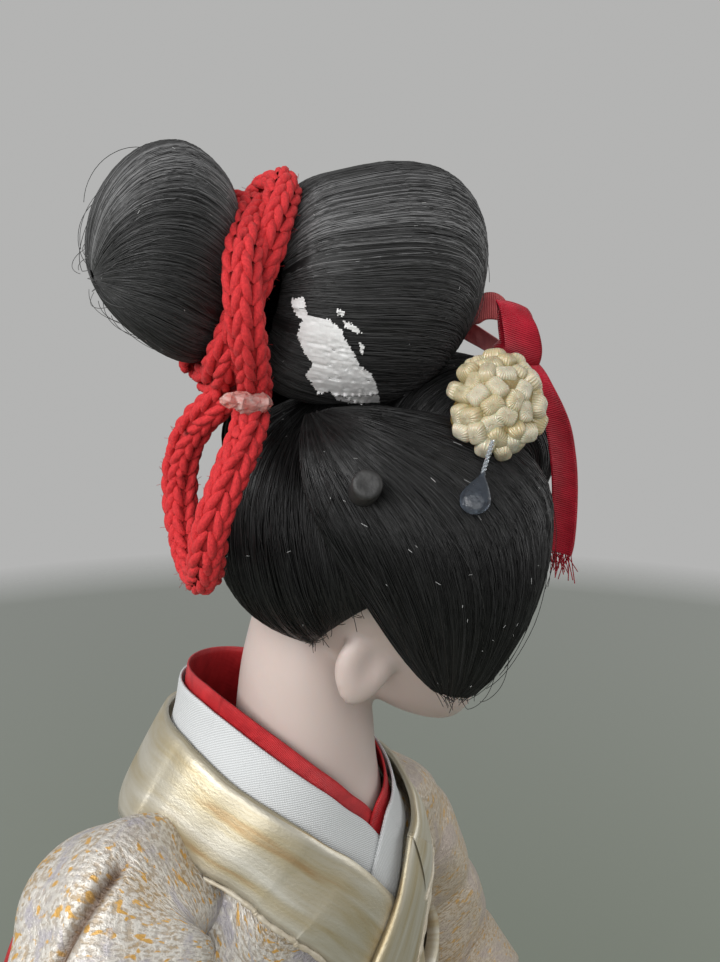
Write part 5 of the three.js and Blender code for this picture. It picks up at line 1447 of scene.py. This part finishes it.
def panel_piece():
    angle = np.radians(np.linspace(*PANEL_SPAN, 70))[None]
    high = skirt_levels(hem_height(angle) + 0.3, OBI_BOTTOM - 0.3, 80)
    outer, inner = (body_point(angle, high, skirt_crease(angle, high) + out) for out in PANEL_OUT)
    points = on_deck(np.concatenate([outer, inner[:, ::-1]], 1))
    piece = made("skirt_panel_cloth", BROCADE, points, "skirt_overlap_panel", "brocade", caps=True)


def hem_piece():
    angle = turn(160)
    path = on_deck(body_point(angle, hem_height(angle) - HEM_GAP - HEM_RADIUS, -1.0 + 0 * angle))
    out = np.stack([-np.sin(angle), np.cos(angle), 0 * angle], 1)
    lump = 1 + 0.05 * np.sin(17 * angle)[:, None, None]
    points = path[:, None] + HEM_RADIUS * lump * spoke(turn(18)[None, :, None], out[:, None], UP)
    roll = made("hem_roll_padding", RED_SILK, points, "hem_roll", "red_silk", loop=True)


def core_piece():
    angle = turn(60)[None]
    high = np.linspace(*CORE_SPAN, 60)[:, None] + 0 * angle
    points = on_deck(body_point(angle, high, CORE_OUT))
    core = made("body_core_stuffing", COTTON, points, "body_core", "cotton")


def bodice_piece():
    angle = turn(140)[None]
    top = BODICE_TOP - BODICE_DIP * ease(0.2, 0.9, -np.cos(angle))
    high = mix(SKIRT_TOP, top, np.linspace(0, 1, 70)[:, None])
    behind = ease(0.2, 0.9, np.cos(angle)) * ease(250, 263, high)
    out = wrinkle(angle, high, 9, 0.7) - 0.6 + 4.5 * behind
    body_shell("bodice_cloth", BROCADE, angle, high, out, out - 1.0, "bodice", "brocade")


def collar_band(shape, upper, lower, nape, right, left, thick, reach, puff=0.12, flare=0.0, lumps=0.0):
    edge = spline([(math.radians(a), z) for a, z in COLLAR_EDGE], 2400)
    picks = np.linspace(reach, 1 - reach, COLLAR_STATIONS) * (len(edge) - 1)
    here = edge[picks.astype(int)]
    ahead = edge[np.minimum(picks.astype(int) + 3, len(edge) - 1)]
    angle, height = here[:, :1], here[:, 1:]
    offset = mix(right, left, ease(-math.pi / 3, math.pi / 3, -angle))
    tiny = 1e-3
    origin = collar_point(angle, height, offset)
    along = unit(collar_point(ahead[:, :1], ahead[:, 1:], offset) - origin)
    per_angle = (collar_point(angle + tiny, height, offset) - origin) / tiny
    per_height = (collar_point(angle, height + tiny, offset) - origin) / tiny
    lean = (per_height * along).sum(-1) / (per_angle * along).sum(-1)
    step = np.linalg.norm(per_angle * lean[..., None] - per_height, axis=-1)
    front = ease(math.pi / 3, 2 * math.pi / 3, np.abs(angle))
    low = mix(nape, lower, front)
    w = np.linspace(0, 1, COLLAR_COLS)[None]
    width = mix(upper, low, w)
    spread = offset + flare * w * (1 - front)
    rise = puff * np.sin(math.pi * w) ** 0.5 + lumps * wrinkle(angle * 3, height + width * 3, 3, 1.0)
    place_a, place_h = angle + lean * width / step, height - width / step
    inner = collar_point(place_a, place_h, spread)
    outer = collar_point(place_a, place_h, spread + thick + rise)
    shape.grid(on_deck(np.concatenate([outer, inner[:, ::-1]], 1)), True, caps=True)
    return on_deck(outer[:, -1])


def piping_piece(edge):
    rope = PIPING_RADIUS * (1 + 0.2 * np.sin(np.arange(len(edge)) * 1.9)) * ease(8, -4, edge[:, 1])
    seam = Shape()
    seam.grid(rings(edge - np.array((0, 0, 0.5)), np.maximum(rope, 0.02), 10), True)
    seam.build("collar_gold_piping", [PIPING], "body", (), "gold_cloth")


def collar_pieces():
    red, white, gold = Shape(), Shape(), Shape()
    collar_band(red, *RED_BAND)
    red.build("collar_red_silk", [RED_SILK], "body", ["collar_red"], "red_silk")
    collar_band(white, *WHITE_BAND)
    white.build("collar_white_silk", [WHITE_SILK], "body", ["collar_white"], "white_silk")
    edge = collar_band(gold, *GOLD_BAND)
    piece = gold.build("collar_gold_cloth", [GOLD], "body", ["collar_gold"], "gold_cloth")
    piping_piece(edge)


def obi_piece():
    angle = turn(160)[None]
    high = np.linspace(OBI_BOTTOM, OBI_TOP, 46)[:, None] + 0 * angle
    out = OBI_OUT + wrinkle(angle, high * 3, 12, 0.4)
    obi = body_shell("obi_cloth", GOLD, angle, high, out, 0.9, "obi_wrap", "gold_cloth")


def obi_cord_pieces():
    angle = turn(160)
    path = on_deck(body_point(angle, OBI_CORD_Z + 0 * angle, OBI_CORD_OUT + 0 * angle))
    path = np.concatenate([path, path[:2]], 0)
    _, side, up = frames(path)
    around = turn(14)[None, :, None]
    twist = around + (np.arange(len(path)) * 0.35)[:, None, None]
    lobe = OBI_CORD_RADIUS * (1 + 0.12 * np.cos(3 * around))
    points = path[:, None] + lobe * spoke(twist, side[:, None], up[:, None])
    made("obi_cord_braid", RED_SILK, points, "obi_cord", "red_silk")
    front = body_point(math.pi, OBI_CORD_Z, OBI_CORD_OUT)
    knot = Shape()
    knot.grid(on_deck(ball(front, (4.6, 2.7, 3.1))), True)
    for side in (-1, 1):
        knot.grid(on_deck(ball(front + mirrored((4.2, 0.4, 0), side), (1.6, 2.2, 2.5))), True)
    knot.build("obi_cord_knot_braid", [RED_SILK], "body", ["obi_cord_knot"], "red_silk")


def behind_obi(height):
    return body_point(0.0, height, OBI_OUT)[1]


def drum_piece():
    rows = spline(DRUM_ROWS, 60)
    angle = turn(120)[None]
    x = boxy(np.cos(angle), 0.45) * DRUM_WIDE * rows[:, 1:]
    z = boxy(np.sin(angle), 0.5) * DRUM_HIGH * rows[:, 1:]
    z = np.where(z > 0, DRUM_PUFF * z, z)
    dents = 0.8 * np.sin(x * 0.35 + 2) * np.sin(z * 0.22)
    y = behind_obi(DRUM_Z) - 1.2 + rows[:, :1] * DRUM_DEEP + dents
    points = on_deck(np.stack([x, y, DRUM_Z + z], -1))
    drum = made("obi_drum_cloth", RED_SILK, points, "obi_drum", "red_silk")


def pad_piece():
    place = (0, behind_obi(OBI_TOP) + PAD_BEHIND, DRUM_Z + DRUM_HIGH + PAD_ABOVE)
    line = spline(np.concatenate([PAD_HALF, PAD_HALF[-2::-1] * (-1, 1, 1, 1)], 0), 90)
    lump = 1 + 0.05 * np.sin(np.linspace(0, 40, 90))
    points = sausage(on_deck(line[:, :3] + place), line[:, 3] * lump, 30)
    pad = made("obi_pad_silk", PINK, points, "obi_pad", "pink_silk")


def obi_tail_piece():
    share = np.linspace(0, 1, 40)[:, None]
    around = turn(80)[None]
    lean = 6 * np.sin(share * math.pi / 2) + 3
    x = TAIL_WIDE * boxy(np.cos(around), 0.35) + 0 * share
    sway = TAIL_THICK * boxy(np.sin(around), 0.35) + 0.7 * np.sin(x * 0.4) * share
    y = behind_obi(OBI_BOTTOM) + 0.3 + lean + sway
    z = DRUM_Z - DRUM_HIGH - 0.3 - share * TAIL_DROP
    points = on_deck(np.stack(np.broadcast_arrays(x, y, z), -1))
    made("obi_tail_cloth", RED_SILK, points, "obi_tail", "red_silk")


def pressed(grid, out, pleats):
    depth = np.zeros(grid.shape[:2])
    for pleat in pleats:
        path = even(pleat, 0.4)
        for spot, share in zip(path, np.linspace(0, 1, len(path))):
            gap = grid - spot
            near = np.linalg.norm(gap, axis=-1) < PLEAT_REACH
            gap = gap - out * (gap * out).sum(-1, keepdims=True)
            fade = near * min(1, 8 * share, 8 * (1 - share))
            depth = np.maximum(depth, fade * np.exp(-(gap ** 2).sum(-1) / PLEAT_WIDTH))
    return depth


def sleeve_piece(side, name, arm, line, pleats):
    share = np.linspace(0, 1, len(line))[:, None]
    angle = turn(160)
    grid = rings(line[:, :3], line[:, 3], len(angle))
    out = normals(grid, True)[0]
    crease = wrinkle(angle[None], share * 120, 7 + side, SLEEVE_CREASE)
    deep = sum(np.exp(-((share - spot) / 0.035) ** 2) for spot in SLEEVE_FOLDS)
    deep = SLEEVE_FOLD_DEPTH * deep * (0.5 + 0.5 * np.cos(angle[None] - 1))
    pinch = pressed(grid, out, pleats)
    grid = grid + out * (crease - deep - PLEAT_DEPTH * pinch)[..., None]
    inner = line[-1, :3] + 0.82 * (grid[-1:] - line[-1, :3])
    deepest = line[-TURN_IN, :3] + 0.78 * (grid[-TURN_IN:1 - TURN_IN] - line[-TURN_IN, :3])
    # The pleat's depth also goes into the tone attribute, which the brocade paints as pleat shade
    tone = np.concatenate([pinch, np.zeros((2, len(angle)))], 0)
    shape = Shape()
    shape.grid(on_deck(np.concatenate([grid, inner, deepest], 0)), True, tone=tone)
    bag(shape, arm)
    piece = shape.build("sleeve_%s_cloth" % name, [BROCADE], "body", ["sleeve_" + name], "brocade")


def lining_piece(name, line, mouth):
    tip, radius = np.asarray(mouth[:3], float), mouth[3] - LINING_GAP
    path = tip + np.outer((-9.5, -4, 0.8), unit(tip - line[-9, :3]))
    shape = Shape()
    solid_wall(shape, rings(path, radius, 60), rings(path, radius - LINING_THICK, 60))
    shape.build("sleeve_lining_%s_silk" % name, [RED_SILK], "body", ["sleeve_lining_" + name], "red_silk")


def arm_pieces(side, name, arm, wrist, pleats=()):
    line = even(arm, 0.5)
    sleeve_piece(side, name, arm, line, pleats)
    lining_piece(name, line, arm[-1])
    bones = [(side * 12, 4, arm[0][2] - 2)] + [row[:3] for row in arm] + wrist
    points = on_deck(rings(even(bones, 1.5), ARM_RADIUS, 20))
    made("arm_core_%s_padding" % name, COTTON, points, "arm_core_" + name, "cotton")
    hand_piece(name, *np.asarray(wrist, float))


def bag(shape, arm):
    elbow, mouth = np.asarray(arm[-2], float), np.asarray(arm[-1], float)
    along = unit(np.array((mouth[0] - elbow[0], mouth[1] - elbow[1], 0)))
    across = np.array((-along[1], along[0], 0))
    middle = (elbow[:3] + mouth[:3]) / 2
    middle[2] = 0
    rows = spline(BAG_ROWS, 70)
    angle = turn(120)[None]
    share = rows[:, :1]
    c, s = np.cos(angle), np.sin(angle)
    crease = 1 + 0.22 * share * np.cos(3 * math.pi * c) + 0.1 * np.sin(7 * c + 5 * share)
    points = middle + (c * BAG_WIDE * rows[:, 1:2])[..., None] * along
    points = points + (boxy(s, 0.6) * BAG_THICK * rows[:, 2:] * crease)[..., None] * across
    points[..., 2] = mouth[2] + 4 - share * BAG_DROP
    shape.grid(on_deck(points), True)


def sausage(line, size, sides=14):
    line = np.concatenate([line[:1], line, line[-1:]], 0)
    size = np.concatenate([[0.01], size, [0.01]])
    return rings(line, size, sides)


def palm_points(end, ahead, sideways, upward):
    rows = spline(PALM_ROWS, 30)
    rows = np.concatenate([rows[:1] * (1, 0.01, 0.01), rows, rows[-1:] * (1, 0.01, 0.01)], 0)
    wide = PALM_WIDE * rows[:, 1:2, None] * upward
    thick = PALM_THICK * rows[:, 2:, None] * sideways
    return end + rows[:, :1, None] * HAND_LENGTH * ahead + spoke(turn(28)[None, :, None], wide, thick)


def hand_piece(name, back, end):
    ahead = unit(end - back)
    sideways = unit(np.array((-ahead[1], ahead[0], 0)))
    upward = np.cross(ahead, sideways)
    shape = Shape()
    shape.grid(on_deck(palm_points(end, ahead, sideways, upward)), True)
    for k, reach in enumerate(FINGER_REACH):
        root = end + (FINGER_FIRST + FINGER_STEP * k) * upward
        bend = np.array([(8, 0), (12, 0.2), (15, 0.7), (reach, 1.6)])
        line = even(root + bend[:, :1] * ahead + bend[:, 1:] * sideways, 0.4)
        taper = FINGER_RADIUS * np.clip(np.linspace(6, 0.4, len(line)), 0.5, 1)
        shape.grid(on_deck(sausage(line, taper)), True)
    thumb = end + np.outer((4.5, 8.5, 12), ahead) + np.outer((1.6, 4.2, 4.8), upward)
    line = even(thumb, 0.4)
    shape.grid(on_deck(sausage(line, np.linspace(1.4, 0.75, len(line)))), True)
    remeshed(shape, "hand_%s_skin" % name, SKIN, *HAND_CELLS, name + "_hand", ["hand_" + name], "skin")


# Feet and base

def sole_points(x):
    angle = turn(80)[None]
    s, c = np.sin(angle), np.cos(angle)
    high, grow = SOLE_ROWS[:, :1], SOLE_ROWS[:, 1:]
    wide = SOLE_HALF[0] * (1 - 0.12 * s * s) * boxy(c, 0.6)
    return np.stack(np.broadcast_arrays(x + wide * grow, SOLE_Y + SOLE_HALF[1] * s * grow, high), -1)


def sock_points(x, side):
    rows = spline(SOCK_ROWS, 60)
    angle = turn(48)[None]
    s, c = np.sin(angle), np.cos(angle)
    wide, half = SOCK_HALF[0] * rows[:, 1:2], SOCK_HALF[1] * rows[:, 2:]
    toes = np.clip(1 - rows[:, :1] / 0.22, 0, 1)
    split = 0.7 * np.exp(-((c - 0.25 * side) / 0.16) ** 2) * (s > 0) * toes
    z = SOCK_Z + half * 0.8 + np.maximum(s * half, -half * 0.8) - split
    return np.stack(np.broadcast_arrays(x + c * wide, SOCK_Y + rows[:, :1] * SOCK_LENGTH, z), -1)


def foot_pieces(side, name):
    x = side * FOOT_X
    made("sandal_%s_sole" % name, STRAW, on_deck(sole_points(x)), "sandal_" + name, "straw")
    made("sock_%s_cotton" % name, COTTON, on_deck(sock_points(x, side)), "sock_" + name, "cotton")
    strap = rings(even(STRAP_ROUTE + (x, 0, 0), 0.5), STRAP_RADIUS, 14, (0, 1, 0))
    made("sandal_strap_%s_silk" % name, RED_SILK, on_deck(strap), "sandal_strap_" + name, "red_silk")


def rounded_ring(inset, z):
    corner = BOARD_CORNER - min(inset, 6)
    x, y = (half - inset - corner for half in BOARD_HALF)
    points = []
    for k, (sx, sy) in enumerate(((1, 1), (-1, 1), (-1, -1), (1, -1))):
        for a in np.linspace(0, math.pi / 2, 40) + k * math.pi / 2:
            points.append((sx * x + corner * math.cos(a), sy * y + corner * math.sin(a), z))
    return points


def board_piece():
    levels = [(2.5, 1.0), (0.6, 1.3), (0, 2.2)]
    for a in np.linspace(0, math.pi / 2, 9):
        levels.append((BOARD_ROUND * (1 - math.cos(a)), DECK - BOARD_ROUND * (1 - math.sin(a))))
    levels += [(20, DECK), (40, DECK), (57.5, DECK)]
    points = np.array([rounded_ring(inset, z) for inset, z in levels])
    made("base_board_lacquer", LACQUER, points, "base_board", "lacquer")


def dress_cad_nodes():
    looks = {"base_felt": FELT, "leg_rod_right": WOOD, "leg_rod_left": WOOD, "neck_bush": WOOD,
             "flower_pin": WIRE, "flower_disc": PETAL}
    for name, look in looks.items():
        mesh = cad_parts[name].data
        mesh.materials.clear()
        mesh.materials.append(look)


# Light and floor

# Lamps: place in metres, size in metres, power
LAMPS = {
    "key_light": ((-0.79, 0.36, 0.9), 0.5, 7.0),
    "fill_light": ((-0.75, -0.35, 0.75), 0.9, 6.0),
    "bounce_light": ((0.8, -0.6, 0.55), 0.8, 3.0),
}
LAMP_AIM = (0.0, 0.0, 0.3)
ROOM_LIGHT = (0.33, 0.33, 0.335)
ROOM_WALL = (0.455, 0.455, 0.45)
TABLE_RADIUS = 1.0
TABLE_SIDES = 96


def area_light(name, place, size, power):
    data = bpy.data.lights.new(name, "AREA")
    data.shape = "DISK"
    data.size = size
    data.energy = power
    lamp = linked(name, data)
    lamp.location = Vector(place)
    lamp.rotation_euler = (Vector(place) - Vector(LAMP_AIM)).to_track_quat("Z", "Y").to_euler()


def light_scene():
    for name, how in LAMPS.items():
        area_light(name, *how)
    world = bpy.data.worlds.new("studio")
    bpy.context.scene.world = world
    world.use_nodes = True
    tree = world.node_tree
    tree.nodes["Background"].inputs["Strength"].default_value = 1.0
    path = tree.nodes.new("ShaderNodeLightPath")
    tint = tree.nodes.new("ShaderNodeMix")
    tint.data_type = "RGBA"
    tint.inputs[6].default_value = (*ROOM_LIGHT, 1)
    tint.inputs[7].default_value = (*ROOM_WALL, 1)
    seen = path.outputs["Is Camera Ray"]
    for ray in ("Is Glossy Ray", "Is Transmission Ray"):
        either = tree.nodes.new("ShaderNodeMath")
        either.operation = "MAXIMUM"
        tree.links.new(seen, either.inputs[0])
        tree.links.new(path.outputs[ray], either.inputs[1])
        seen = either.outputs[0]
    tree.links.new(seen, tint.inputs[0])
    tree.links.new(tint.outputs[2], tree.nodes["Background"].inputs["Color"])
    floor_piece()
    bpy.context.scene.view_settings.view_transform = "Standard"


def floor_piece():
    rim = [(TABLE_RADIUS * math.cos(a), TABLE_RADIUS * math.sin(a), 0) for a in turn(TABLE_SIDES)]
    mesh = bpy.data.meshes.new("floor")
    mesh.from_pydata(rim, [], [tuple(range(TABLE_SIDES))])
    look = Look("floor_pale", (0.5, 0.53, 0.5), 0.7)
    spot = look.add("TexCoord", {}).outputs["Object"]
    reach = look.add("VectorMath", {0: spot}, operation="LENGTH").outputs["Value"]
    share = look.add("MapRange", {"Value": reach, "From Max": TABLE_RADIUS}).outputs["Result"]
    look.paint(share, [(0.3, (0.215, 0.24, 0.195)), (0.97, (0.4, 0.42, 0.385))])
    fade = look.add("MapRange", {"Value": share, "From Min": 1.0, "From Max": 0.88}).outputs["Result"]
    look.put(look.shader, "Alpha", fade)
    mesh.materials.append(look.mat)
    linked("floor", mesh)


# The whole scene

place_camera()
cord_pieces()
glue_piece()
hair_pieces()
peg_piece()
former_piece()
flower_piece()
drop_pieces()
ribbon_pieces()
face_piece(head_piece())
collar_pieces()
bodice_piece()
obi_piece()
obi_cord_pieces()
drum_piece()
pad_piece()
obi_tail_piece()
skirt_piece()
panel_piece()
hem_piece()
core_piece()
arm_pieces(-1, "right", RIGHT_ARM, RIGHT_WRIST, RIGHT_PLEATS)
arm_pieces(1, "left", LEFT_ARM, LEFT_WRIST)
foot_pieces(-1, "right")
foot_pieces(1, "left")
board_piece()
dress_cad_nodes()
light_scene()
